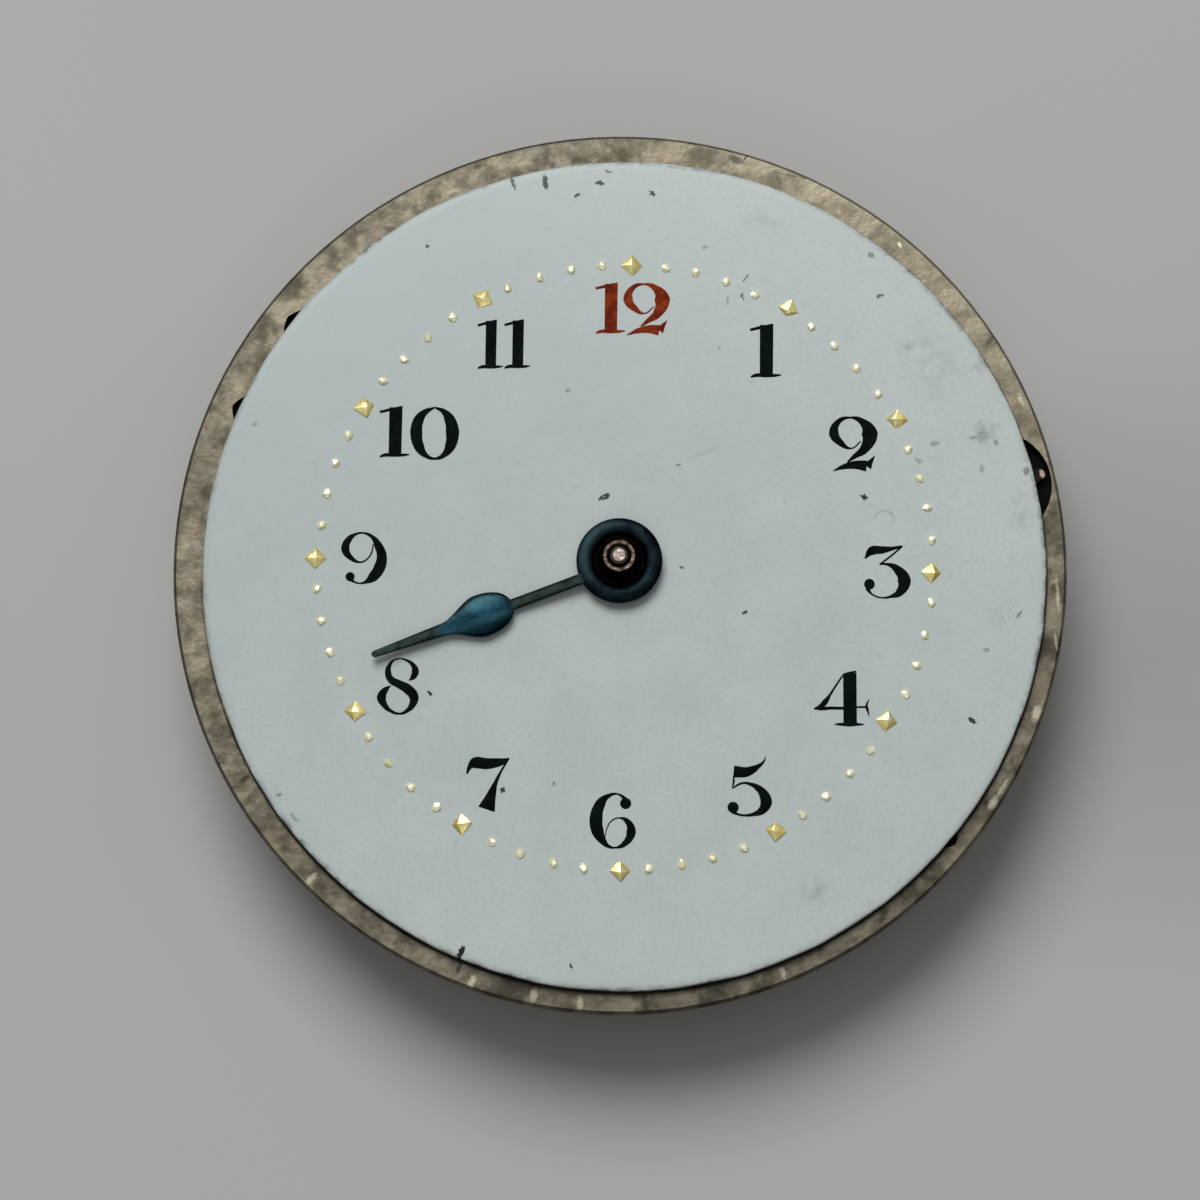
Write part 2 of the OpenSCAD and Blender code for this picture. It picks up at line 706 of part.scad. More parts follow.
// setting lever and its spring
module setting_lever() color("#8f9296") difference() {
    union() {
        slab(lever_z) {
            finger(lever_c, 0.95, finger_c + [0, 0.1], 0.45);
            finger(lever_c, 0.95, nose_c, 0.35);
        }
        translate([finger_c[0] - 0.15, finger_c[1] - 0.35, 2.82]) cube([0.3, 0.7, lever_z[0] + over - 2.82]);
        slab([lever_z[1] - over, nose_top]) finger(nose_c, 0.25, nose_tip_c, 0.2);
    }
    disc(lever_c, shoulder_r + run, lever_z[0] - over, lever_z[1] + over);
}

module lever_spring() color("#6f7f92") difference() {
    slab([3.9, 4.12]) {
        finger(lever_spring_c, 0.2, lever_spring_tip, 0.07);
        translate(lever_spring_c) circle(0.75);
    }
    disc(lever_spring_c, small_screw_r + run, 3.8, 4.2);
}

// barrel
module barrel_drum() color("#c7a55c") difference() {
    union() {
        slab(barrel_teeth_z) translate(barrel_c)
            polygon(wheel_teeth(barrel_teeth, barrel_m, tooth_at(barrel_c, centre_c)));
        disc(barrel_c, drum_r, barrel_teeth_z[1] - over, barrel_z[1]);
    }
    disc(barrel_c, drum_in_r, barrel_z[0] + 0.18, barrel_z[1] + over);
    disc(barrel_c, cover_r, barrel_z[1] - 0.16, barrel_z[1] + over);
    disc(barrel_c, barrel_shaft_r + run, barrel_z[0] - over, barrel_z[1]);
}

module barrel_cover() color("#c7a55c") difference() {
    disc(barrel_c, cover_r, barrel_z[1] - 0.16, barrel_z[1] - 0.02);
    disc(barrel_c, barrel_shaft_r + run, barrel_z[0], barrel_z[1] + over);
    translate([barrel_c[0], barrel_c[1], 0]) rotate(20)
        translate([cover_r - 0.45, -0.35, barrel_z[1] - 0.5]) cube([0.8, 0.7, 1]);
}

module mainspring() color("#5c6670") slab([1.95, 3.02]) translate(barrel_c)
    polygon(ribbon(main_out_r, main_in_r, main_sweep, 0, mainspring_t, 30, 1, main_step));

module barrel_arbor() color("#8f9296") difference() {
    union() {
        disc(barrel_c, barrel_neck_r, ratchet_sink_z + 0.01, joint_z + over);
        disc(barrel_c, barrel_shaft_r, joint_z + 0.05, barrel_z[1] + run);
        disc(barrel_c, core_r, 1.92, 3.06);
        disc(barrel_c, barrel_pivot_r, barrel_z[1], dial_floor);
        translate([barrel_c[0] - square_w / 2, barrel_c[1] - square_w / 2, ratchet_z[1] / 2])
            cube([square_w, square_w, ratchet_sink_z - ratchet_z[1] / 2 + over]);
    }
    disc(barrel_c, 0.3, 0, 1.1);
}

// winding
module ratchet_wheel() color("#a8a8a4") difference() {
    slab(ratchet_z) translate(barrel_c)
        polygon(winding_wheel(ratchet_teeth, tooth_at(barrel_c, crown_c)));
    disc(barrel_c, 0.95, ratchet_z[0] - over, ratchet_z[1] / 2);
    translate([barrel_c[0] - square_w / 2, barrel_c[1] - square_w / 2, 0]) cube([square_w, square_w, 1]);
}

module ratchet_screw() color("#55606e") screw(barrel_c, 0.01, 1, 0.9, 0.18, 0.3, 1.05);

module crown_wheel() color("#a8a8a4") difference() {
    slab(crown_z) translate(crown_c)
        polygon(winding_wheel(crown_teeth, gap_at(crown_c, barrel_c, crown_teeth)));
    disc(crown_c, crown_core_r + run, crown_z[0] - over, crown_z[1] + over);
    disc(crown_c, 1.4, crown_z[0] - over, 0.18);
}

module crown_wheel_core() color("#8f9296") difference() {
    disc(crown_c, crown_core_r, 0.15, crown_sink_z);
    disc(crown_c, 0.3, 0, 1);
}

module crown_wheel_screw() color("#55606e") screw(crown_c, 0.01, 1, 1.34, 0.14, 0.3, 1.1);

// dog teeth round the stem's axis, from x0 to x1
module dogs(count, share, x0, x1, turn) {
    dog_in_r = 0.62;
    dog_out_r = 0.98;
    translate([x0, 0, stem_z]) rotate([0, 90, 0]) for (i = [0:count - 1])
        rotate([0, 0, turn + i * 360 / count]) rotate_extrude(angle = share * 360 / count)
            translate([dog_in_r, 0]) square([dog_out_r - dog_in_r, x1 - x0]);
}

// the crown wheel's tooth or gap that stands over the stem decides the winding pinion's phase
crown_pitch = 360 / crown_teeth;
crown_off = (gap_at(crown_c, barrel_c, crown_teeth)) / crown_pitch;
crown_part = crown_off - floor(crown_off);
winding_phase = (0.5 + crown_part) * 360 / winding_teeth;
module winding_pinion() color("#8f9296") difference() {
    union() {
        translate([winding_x[0], 0, stem_z]) rotate([0, 90, 0])
            linear_extrude(winding_x[1] - winding_x[0])
                polygon(gear(winding_teeth, winding_m, 0.36, 0.4, 1.1, winding_phase));
        along_x(0.85, winding_x[1] - over, winding_hub_x);
        dogs(dog_count, 0.44, winding_x[0] - dog_h, winding_x[0] + over, 0);
    }
    along_x(0.52, winding_x[0] - 1, winding_hub_x + over);
}

module clutch() color("#8f9296") difference() {
    union() {
        along_x(clutch_r, clutch_x[0], groove_x[0]);
        along_x(groove_r, groove_x[0] - over, groove_x[1] + over);
        along_x(clutch_r, groove_x[1], clutch_x[1]);
        dogs(dog_count, 0.44, clutch_x[1] - over, clutch_x[1] + dog_h, 180 / dog_count);
        dogs(12, 0.5, clutch_in_x, clutch_x[0] + over, 0);
    }
    translate([clutch_in_x - over, -0.36, stem_z - 0.36]) cube([3, 0.72, 0.72]);
}

module click() color("#8f9296") difference() {
    slab([0.04, 0.38]) finger(click_c, 0.75, beak_c, 0.18);
    disc(click_c, shoulder_r + run, 0, 1);
    disc(click_c, 0.66, 0, 0.18);
}

module click_spring() color("#6f7f92") difference() {
    slab([0.06, 0.36]) {
        finger(click_spring_c, 0.2, click_spring_tip, 0.07);
        translate(click_spring_c) circle(0.7);
    }
    disc(click_spring_c, small_screw_r + run, 0, 1);
}

// bridges and cocks
barrel_outline = rounded([
    polar(17, -13.4), [8.6, -3.95], [5, -4.05], [2.7, -2.2], [1.5, -0.3], [-0.9, 1.5], [-3.6, 2.6],
    polar(17, 151), polar(34, 110), polar(34, 30)], 0.7);

module bridge_screw_holes(at) {
    for (p = at) {
        disc(p, screw_r + run, 0, joint_z + over);
        disc(p, screw_head_r + run, 0, 0.5);
    }
}

module barrel_bridge() color("#a39d92") difference() {
    slab([bridge_face_z, joint_z]) intersection() {
        circle(bridge_r);
        polygon(barrel_outline);
    }
    disc(centre_c, 1.3, 0, joint_z + over);
    disc(barrel_c, ratchet_tip + 0.15, 0, ratchet_sink_z);
    disc(crown_c, crown_tip + 0.15, 0, crown_sink_z);
    disc(barrel_c, barrel_neck_r + run, 0, joint_z + over);
    disc(crown_c, 0.3, 0, joint_z + over);
    along_x(clutch_r + 0.1, 7.05, winding_x[0] + over);
    along_x(winding_tip_r + 0.08, winding_x[0] - 0.06, winding_hub_x + 0.1);
    slab([0, ratchet_sink_z]) {
        finger(click_c, 1.05, beak_c, 0.7);
        finger(click_spring_c, 0.95, click_spring_tip, 0.35);
    }
    disc(click_c, post_r, 0, joint_z - 0.05);
    disc(click_spring_c, small_screw_r, 0, joint_z - 0.05);
    bridge_screw_holes(barrel_screws);
}

module centre_bridge() color("#a39d92") difference() {
    slab([bridge_face_z, joint_z]) {
        finger(centre_foot_c, 1.9, centre_c, 1);
        finger(centre_foot_c, 1.9, third_c, 0.9);
    }
    disc(centre_c, 0.55, 0, joint_z + over);
    disc(third_c, jewel_r, 0, joint_z + over);
    bridge_screw_holes(centre_screws);
}

module fourth_wheel_cock() color("#a39d92") difference() {
    slab([bridge_face_z, joint_z]) finger(fourth_foot_c, 1.5, fourth_c, 0.85);
    disc(fourth_c, jewel_r, 0, joint_z + over);
    bridge_screw_holes([cock_screws[0]]);
}

module escape_wheel_cock() color("#a39d92") difference() {
    slab([bridge_face_z, joint_z]) finger(escape_foot_c, 1.5, escape_c, 0.75);
    disc(escape_c, escape_jewel_r, 0, joint_z + over);
    bridge_screw_holes([cock_screws[1]]);
}

module pallet_cock() color("#a39d92") difference() {
    slab(pallet_cock_z) {
        finger(pallet_c, 0.8, pallet_feet[0], 0.7);
        finger(pallet_c, 0.8, pallet_feet[1], 0.7);
    }
    disc(pallet_c, 0.35, 2, 3);
    for (p = pallet_feet) {
        disc(p, small_screw_r + run, 2, 3);
        disc(p, small_head_r + run, 2, 2.28);
    }
}

module balance_cock() color("#a39d92") difference() {
    union() {
        slab([cock_face_z, cock_under_z]) {
            finger(balance_foot_c, 1.98, balance_c, 1.9);
            finger(balance_c, 1.2, balance_c + polar(hair_out_r, stud_angle), 0.38);
        }
        slab([bridge_face_z, joint_z]) intersection() {
            circle(bridge_r);
            translate(balance_foot_c) circle(2);
        }
    }
    slab([0, 2]) difference() {
        circle(20);
        circle(bridge_r);
    }
    disc(balance_c, balance_jewel_r, 0, 0.9);
    disc(balance_c, 0.35, 0, 2);
    disc(balance_c + polar(hair_out_r, stud_angle), 0.16, 0, 2);
    bridge_screw_holes([cock_screws[2]]);
    for (p = end_screw_at) {
        disc(p, end_screw_r, 0, 2);
        disc(p, 0.2, cock_under_z - 0.2, 2);
    }
}

// screws
module bridge_screws() color("#55606e") for (p = bridge_screw_at)
    screw(p, 0, 1, screw_head_r, 0.5, screw_r, screw_tip_z);

end_screw_r = 0.1;
end_screw_at = [for (a = [110, 290]) balance_c + polar(0.66, a)];

module small_screws() color("#55606e") {
    for (p = pallet_feet) screw(p, 2.14, 1, small_head_r, 0.14, small_screw_r, 0.95);
    screw(cover_foot_c, 4.53, -1, small_head_r, 0.11, small_screw_r, 1.2);
    screw(lever_spring_c, 4.3, -1, small_head_r, 0.18, small_screw_r, 0.88);
    screw(click_spring_c, 0, 1, small_head_r, 0.06, small_screw_r, 1.15);
    for (a = foot_angles) difference() {
        union() {
            from_edge(a, 0.5, 13.35, 13.85);
            from_edge(a, small_screw_r, foot_ring_r + foot_r, 13.4);
        }
        translate([dial_c[0], dial_c[1], foot_screw_z]) rotate([0, 0, a])
            translate([13.7, -0.6, -0.07]) cube([0.3, 1.2, 0.14]);
    }
}

// shouldered screws of the setting lever and the click
module shoulder_screws() color("#55606e") {
    screw(lever_c, 4.42, -1, 0.7, 0.2, shoulder_r, 4.42 - dial_floor);
    disc(lever_c, post_r, 3, dial_floor);
    screw(click_c, 0.01, 1, 0.62, 0.15, shoulder_r, ratchet_sink_z - 0.01);
    disc(click_c, post_r, ratchet_sink_z, joint_z - 0.05);
}

module end_piece_screws() color("#55606e") for (p = end_screw_at)
    screw(p, cock_under_z - 0.04, -1, 0.18, 0.14, end_screw_r, cock_under_z - 0.04 - 0.12);

// jewels
module hole_jewel(c, r, hole_r, z0, z1) {
    ring(c, r, hole_r, [z0, z1]);
}

module plate_jewels() color("#a3283c") {
    hole_jewel(third_c, jewel_r, 0.08 + pivot_gap, 3.28, 3.58);
    hole_jewel(fourth_c, jewel_r, 0.07 + pivot_gap, 3.38, 3.68);
    hole_jewel(escape_c, escape_jewel_r, 0.06 + pivot_gap, 3.23, 3.53);
    hole_jewel(pallet_c, escape_jewel_r, pallet_pivot_r + pivot_gap, 2.97, 3.25);
    hole_jewel(balance_c, balance_jewel_r, staff_pivot_r + pivot_gap, 2.97, 3.25);
    disc(balance_c, balance_jewel_r, 3.26, 3.5);
}

module cock_jewels() color("#a3283c") {
    hole_jewel(centre_c, 0.55, 0.15 + pivot_gap, 0.45, 0.9);
    hole_jewel(third_c, jewel_r, 0.08 + pivot_gap, 0.5, 0.9);
    hole_jewel(fourth_c, jewel_r, 0.07 + pivot_gap, 0.5, 0.9);
    hole_jewel(escape_c, escape_jewel_r, 0.06 + pivot_gap, 0.5, 0.9);
    hole_jewel(pallet_c, 0.35, pallet_pivot_r + pivot_gap, 2.15, 2.4);
    hole_jewel(balance_c, balance_jewel_r, staff_pivot_r + pivot_gap, 0.6, 0.9);
    disc(balance_c, cap_jewel_r, 0.08, 0.57);
}

module end_piece() color("#8f9296") difference() {
    union() {
        disc(balance_c, end_piece_r, 0.02, cock_face_z);
        disc(balance_c, 0.95, 0.02, 0.15);
    }
    disc(balance_c, cap_jewel_r, 0, 1);
    for (p = end_screw_at) disc(p, end_screw_r, 0.12, 1);
}

// going train
module centre_arbor() color("#8f9296") {
    disc(centre_c, 0.15, 0.5, 1);
    disc(centre_c, 0.35, 0.98, centre_pinion_z[0] + over);
    pinion(centre_c, pinion_leaves, barrel_m, gap_at(centre_c, barrel_c, pinion_leaves), centre_pinion_z);
    disc(centre_c, centre_arbor_r, centre_pinion_z[1] - over, cannon_z[0] - 0.05);
    disc(centre_c, arbor_r, cannon_z[0] - 0.1, arbor_top - 0.08);
    translate([0, 0, arbor_top - 0.08]) cylinder(r1 = arbor_r, r2 = arbor_r - 0.08, h = 0.08);
}

module centre_wheel() color("#c7a55c") slab(centre_z)
    spoked(centre_c, wheel_teeth(centre_teeth, centre_m, tooth_at(centre_c, third_c)),
        3.05, 0.7, 0.42, 4, 0.35, 15);

module third_arbor() color("#8f9296") {
    disc(third_c, 0.08, 0.5, 1);
    disc(third_c, 0.2, 0.98, 3.14);
    pinion(third_c, pinion_leaves, centre_m, gap_at(third_c, centre_c, pinion_leaves), third_pinion_z);
    disc(third_c, 0.08, 3.1, 3.56);
}

module third_wheel() color("#c7a55c") slab(third_z)
    spoked(third_c, wheel_teeth(third_teeth, third_m, tooth_at(third_c, fourth_c)),
        2.7, 0.5, 0.36, 4, 0.2, 40);

module fourth_arbor() color("#8f9296") {
    disc(fourth_c, 0.07, 0.5, 1);
    disc(fourth_c, 0.18, 0.98, 3.25);
    pinion(fourth_c, pinion_leaves, third_m, gap_at(fourth_c, third_c, pinion_leaves), fourth_pinion_z);
    disc(fourth_c, 0.07, 3.2, 3.66);
}

module fourth_wheel() color("#c7a55c") slab(fourth_z)
    spoked(fourth_c, wheel_teeth(fourth_teeth, fourth_m, tooth_at(fourth_c, escape_c)),
        2.55, 0.45, 0.34, 4, 0.18, 5);

module escape_arbor() color("#8f9296") {
    disc(escape_c, 0.06, 0.5, 1);
    disc(escape_c, 0.15, 0.98, 3.05);
    pinion(escape_c, escape_leaves, fourth_m, gap_at(escape_c, fourth_c, escape_leaves), escape_pinion_z);
    disc(escape_c, 0.06, 3, 3.51);
}

// club tooth of the escape wheel, leaning the way the wheel turns
escape_pitch = 360 / escape_teeth;
function club(a) = [
    polar(1.62, a - 4.5), polar(1.88, a + 0.5), polar(escape_r, a + 3), polar(escape_r - 0.1, a + 7),
    polar(1.75, a + 3.6), polar(1.6, a + 1.5)];

module escape_wheel() color("#a8a8a4") slab(escape_z)
    spoked(escape_c, [for (i = [0:escape_teeth - 1]) each club(i * escape_pitch + 10)],
        1.38, 0.4, 0.24, 4, 0.15, 22);

// lever escapement
module pallet_fork() color("#8f9296") difference() {
    union() {
        slab(fork_z) translate(pallet_c) {
            finger([0, 0], 0.36, [1.4, 0], 0.13);
            finger([1.3, 0], 0.14, [2.3, 0], 0.12);
            for (s = [-1, 1]) finger([0, 0], 0.34, [-0.2, s * 1.28], 0.27);
            polygon([[2.15, -0.14], [2.42, -0.4], [2.86, -0.48], [2.8, -0.12], [2.46, -0.12],
                [2.46, 0.12], [2.8, 0.12], [2.86, 0.48], [2.42, 0.4], [2.15, 0.14]]);
        }
        disc(pallet_c + [2.2, 0], 0.06, 2.28, fork_z[0] + over);
    }
    for (s = [-1, 1]) stone(s, [2, 3]);
    disc(pallet_c, 0.14, 2, 3);
}

module pallet_arbor() color("#8f9296") {
    disc(pallet_c, pallet_pivot_r, 2.16, 2.47);
    disc(pallet_c, 0.14, 2.45, 2.93);
    disc(pallet_c, pallet_pivot_r, 2.9, 3.23);
}

module pallet_stones() color("#a3283c") for (s = [-1, 1]) stone(s, stone_z);

// balance
rim_mid_z = (rim_z[0] + rim_z[1]) / 2;
balance_screw_in = 0.2;
module around_rim() {
    for (i = [0:balance_screw_count - 1]) translate([balance_c[0], balance_c[1], rim_mid_z])
        rotate([0, 0, (i + 0.5) * 360 / balance_screw_count]) rotate([0, 90, 0]) children();
}

module balance_wheel() color("#c7a55c") difference() {
    union() {
        ring(balance_c, rim_r, rim_in_r, rim_z);
        slab(arm_z) translate(balance_c) {
            circle(0.75);
            square([2 * rim_in_r + 0.2, 0.5], center = true);
        }
    }
    disc(balance_c, staff_r, 1, 2);
    around_rim() translate([0, 0, rim_r - balance_screw_in]) cylinder(r = 0.09, h = 1);
}

module balance_screws() color("#c7a55c") around_rim() difference() {
    union() {
        translate([0, 0, rim_r - balance_screw_in]) cylinder(r = 0.09, h = balance_screw_in + 0.1);
        translate([0, 0, rim_r + 0.01]) cylinder(r = 0.2, h = 0.27);
    }
    translate([-0.03, -0.3, rim_r + 0.2]) cube([0.06, 0.6, 0.2]);
}

module balance_staff() color("#8f9296") {
    disc(balance_c, staff_pivot_r, 0.585, 0.96);
    disc(balance_c, staff_r, 0.95, arm_z[1] + over);
    disc(balance_c, 0.6, arm_z[1], 1.92);
    disc(balance_c, 0.22, 1.9, 2.4);
    disc(balance_c, 0.16, 2.38, 2.88);
    disc(balance_c, staff_pivot_r, 2.86, 3.24);
}

module roller() color("#8f9296") difference() {
    disc(balance_c, 1, roller_z[0], roller_z[1]);
    disc(balance_c, 0.22, 2, 3);
    disc(balance_c - [impulse_far, 0], impulse_r, 2, 3);
    disc(balance_c - [1.06, 0], 0.16, 2, 3);
}

module impulse_pin() color("#a3283c") disc(balance_c - [impulse_far, 0], impulse_r, roller_z[0], 2.47);

module collet() color("#c7a55c") difference() {
    disc(balance_c, 0.6, 1.2, 1.48);
    disc(balance_c, staff_r, 1, 2);
    translate([balance_c[0], balance_c[1] - 0.04, 1]) cube([1, 0.08, 1]);
}

module hairspring() color("#3f5f86") slab(hair_z) translate(balance_c)
    polygon(ribbon(hair_out_r, hair_in_r, hair_sweep, hair_hold, hair_t, stud_angle, 1, hair_step));

module hairspring_stud() color("#8f9296")
    disc(balance_c + polar(hair_out_r, stud_angle), 0.16, 0.42, hair_z[1] + 0.03);

module regulator() color("#8f9296") {
    pin_off = hair_t / 2 + curb_r + curb_play;
    difference() {
        slab(regulator_z) {
            translate(balance_c) circle(1.25);
            finger(balance_c, 0.6, balance_c + polar(3.6, index_angle), 0.1);
            finger(balance_c, 0.6, balance_c + polar(hair_out_r, curb_angle), 0.22);
        }
        disc(balance_c, end_piece_r + run, 0, 1);
    }
    for (s = [-1, 1])
        disc(balance_c + polar(hair_out_r + s * pin_off, curb_angle), curb_r, regulator_z[0] + over,
            hair_z[1] + 0.04);
}

main_plate();
enamel_dial();
dial_feet();
hour_pips();
minute_pips();
barrel_bridge();
centre_bridge();
fourth_wheel_cock();
escape_wheel_cock();
pallet_cock();
balance_cock();
bridge_screws();
small_screws();
shoulder_screws();
end_piece_screws();
plate_jewels();
cock_jewels();
end_piece();
hairspring_stud();
hairspring();
click_spring();
crown_wheel_core();
crown_wheel_screw();
setting_cover();
plate_pins();
lever_spring();
barrel_drum();
barrel_cover();
mainspring();
barrel_arbor();
ratchet_wheel();
ratchet_screw();
centre_arbor();
centre_wheel();
third_arbor();
third_wheel();
fourth_arbor();
fourth_wheel();
escape_arbor();
escape_wheel();
pallet_fork();
pallet_arbor();
pallet_stones();
balance_wheel();
balance_screws();
balance_staff();
roller();
impulse_pin();
collet();
regulator();
cannon_pinion();
minute_wheel();
hour_wheel();
hour_hand();
setting_wheel();
crown_wheel();
winding_pinion();
clutch();
setting_lever();
click();
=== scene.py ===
import json
import math
import random

import bmesh
import bpy
from mathutils import Matrix, Vector, noise

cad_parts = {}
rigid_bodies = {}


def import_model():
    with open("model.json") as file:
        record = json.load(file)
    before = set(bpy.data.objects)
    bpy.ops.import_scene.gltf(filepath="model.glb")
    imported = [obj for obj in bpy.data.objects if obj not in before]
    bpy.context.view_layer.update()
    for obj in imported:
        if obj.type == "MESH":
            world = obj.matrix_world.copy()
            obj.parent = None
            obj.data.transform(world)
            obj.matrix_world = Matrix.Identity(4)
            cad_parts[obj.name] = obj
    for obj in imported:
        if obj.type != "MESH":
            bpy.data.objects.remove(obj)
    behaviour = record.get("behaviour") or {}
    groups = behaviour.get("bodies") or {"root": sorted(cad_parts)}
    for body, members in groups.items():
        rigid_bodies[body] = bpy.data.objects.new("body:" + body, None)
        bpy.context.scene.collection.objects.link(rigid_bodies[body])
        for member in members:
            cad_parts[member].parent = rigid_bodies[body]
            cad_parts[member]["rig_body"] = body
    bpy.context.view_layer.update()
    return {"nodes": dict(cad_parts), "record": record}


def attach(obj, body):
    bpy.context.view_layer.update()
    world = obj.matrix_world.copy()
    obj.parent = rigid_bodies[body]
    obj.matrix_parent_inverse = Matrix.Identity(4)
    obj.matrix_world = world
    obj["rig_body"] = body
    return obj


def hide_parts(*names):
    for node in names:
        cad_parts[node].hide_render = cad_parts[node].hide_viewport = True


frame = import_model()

# Sizes are in millimetres here, as a watchmaker gives them, and MM turns them to metres.
# The origin is on the centre arbor's axis at the lowest plane of the bridge side, +Z is the dial side,
# +X is 3 o'clock and +Y is 12 o'clock.
MM = 0.001
NODES = frame["nodes"]

# dial
DIAL_C = (0.15, -0.15)
DIAL_R = 13.8
DIAL_HOLE_R = 1.1
DIAL_TOP = 5.3
DOME_DROP = 0.29
DIAL_EDGE_R = 0.1
PLATE_TOP = 4.55
STUD_RING_C = (0.19, -0.02)
STUD_RING_R = 10.05

# the opening in the rim near 3 o'clock, where the setting lever's nose shows
NOTCH_C = (12.7 * math.cos(math.radians(13.85)), 12.7 * math.sin(math.radians(13.85)))
NOTCH_R = 1.8
# nicks in the rim beside the dial: place, half-length, half-width, direction and depth of the painted shade that
# blackens them
NICKS = [(-11.15, 8.1, 0.36, 0.62, 144, 1.0), (-12.8, 5.07, 0.36, 0.5, 158.4, 1.0),
         (11.05, -8.79, 0.3, 0.45, 321.5, 0.9)]

# hour hand
HAND_ANGLE = math.radians(201.5)
HAND_LENGTH = 8.62
HAND_UNDER = 5.6
BOSS_R = 1.4
BOSS_HOLE_R = 0.83
BULB_START, BULB_WIDE, BULB_END = 3.8, 4.8, 6.2
BULB_HALF_W = 0.7
SHANK_HALF_W = 0.18
NECK_HALF_W = 0.2
TIP_HALF_W = 0.1
# the arm was bent a little to one side of the axis and down towards the dial
ARM_OFF = 0.15
ARM_DROOP = 0.15
# length over which it bends down, from the boss
DROOP_RUN = 2
# the arm over its underside plane: its lower face, its edges, the shank's flat top and the bulb's crown
UNDER_RISE = 0.02
ARM_EDGE_H = 0.13
SHANK_TOP = 0.06
BULB_CROWN = 0.17
# how steep the crown may be before the shank's top is filed flat
FLAT_SHARE = 0.45

# upright axes of the barrel, the balance and the crown wheel: the ratchet wheel carries circular grain about the
# barrel's, the crown wheel about its own, and the hairspring coils about the balance's
BARREL_C = (1.316, 5.700)
BALANCE_C = (4.393, -7.049)
CROWN_C = (6.640, 0.0)


def dome(r):
    """Height of the dial's face at a radius from the dial's own middle."""
    return DIAL_TOP - DOME_DROP * (r / DIAL_R) ** 2


# ---- materials ----


def tint(code):
    """Linear colour of an sRGB hex code."""
    parts = [int(code[i:i + 2], 16) / 255 for i in (1, 3, 5)]
    return tuple(c / 12.92 if c <= 0.04045 else ((c + 0.055) / 1.055) ** 2.4 for c in parts) + (1.0,)


def add(tree, kind, inputs=None, **settings):
    """Adds a node with its settings, and links or sets its inputs."""
    node = tree.nodes.new(kind)
    for name, value in settings.items():
        setattr(node, name, value)
    for socket, value in (inputs or {}).items():
        if isinstance(value, bpy.types.NodeSocket):
            tree.links.new(value, node.inputs[socket])
        else:
            node.inputs[socket].default_value = value
    return node


def start(name):
    """A new material with its surface shader and the piece's own coordinates."""
    material = bpy.data.materials.new(name)
    material.use_nodes = True
    tree = material.node_tree
    shader = tree.nodes["Principled BSDF"]
    place = add(tree, "ShaderNodeTexCoord").outputs["Object"]
    return material, tree, shader, place


def blotches(tree, place, size, detail, low, high, rough=0.55):
    """Cloudy mask from 0 to 1 whose patches are about size millimetres across."""
    cloud = add(tree, "ShaderNodeTexNoise", {"Vector": place, "Scale": 1 / (size * MM), "Detail": detail,
                                             "Roughness": rough})
    span = add(tree, "ShaderNodeMapRange", {"Value": cloud.outputs["Fac"], "From Min": low, "From Max": high})
    return span.outputs["Result"]


def blend(tree, mask, a, b, mode="MIX"):
    """Mixes two colours by a mask; each is a socket or a hex code."""
    node = add(tree, "ShaderNodeMix", {"Factor": mask}, data_type="RGBA", blend_type=mode)
    for slot, value in ((6, a), (7, b)):
        if isinstance(value, str):
            node.inputs[slot].default_value = tint(value)
        else:
            tree.links.new(value, node.inputs[slot])
    return node.outputs[2]


def relief(tree, shader, height, depth):
    """Raises the surface by a mask, depth in millimetres."""
    bump = add(tree, "ShaderNodeBump", {"Height": height, "Strength": 1.0, "Distance": depth * MM})
    tree.links.new(bump.outputs["Normal"], shader.inputs["Normal"])


def from_axis(tree, place, centre):
    """Distance in metres from an upright axis, whatever the height."""
    flat = add(tree, "ShaderNodeVectorMath", {0: place, 1: (1.0, 1.0, 0.0)}, operation="MULTIPLY")
    away = add(tree, "ShaderNodeVectorMath", {0: flat.outputs["Vector"], 1: (centre[0] * MM, centre[1] * MM, 0.0)},
               operation="DISTANCE")
    return away.outputs["Value"]


def ramp(tree, value, low, high):
    """0 at low and 1 at high, both in millimetres."""
    span = add(tree, "ShaderNodeMapRange", {"Value": value, "From Min": low * MM, "From Max": high * MM})
    return span.outputs["Result"]


def maths(tree, operation, *values):
    return add(tree, "ShaderNodeMath", dict(enumerate(values)), operation=operation).outputs["Value"]


def along(tree, place, direction):
    """Distance in metres along a direction in degrees, seen from above."""
    way = (math.cos(math.radians(direction)), math.sin(math.radians(direction)), 0.0)
    return add(tree, "ShaderNodeVectorMath", {0: place, 1: way}, operation="DOT_PRODUCT").outputs["Value"]


def height_of(tree, place):
    return add(tree, "ShaderNodeSeparateXYZ", {"Vector": place}).outputs["Z"]


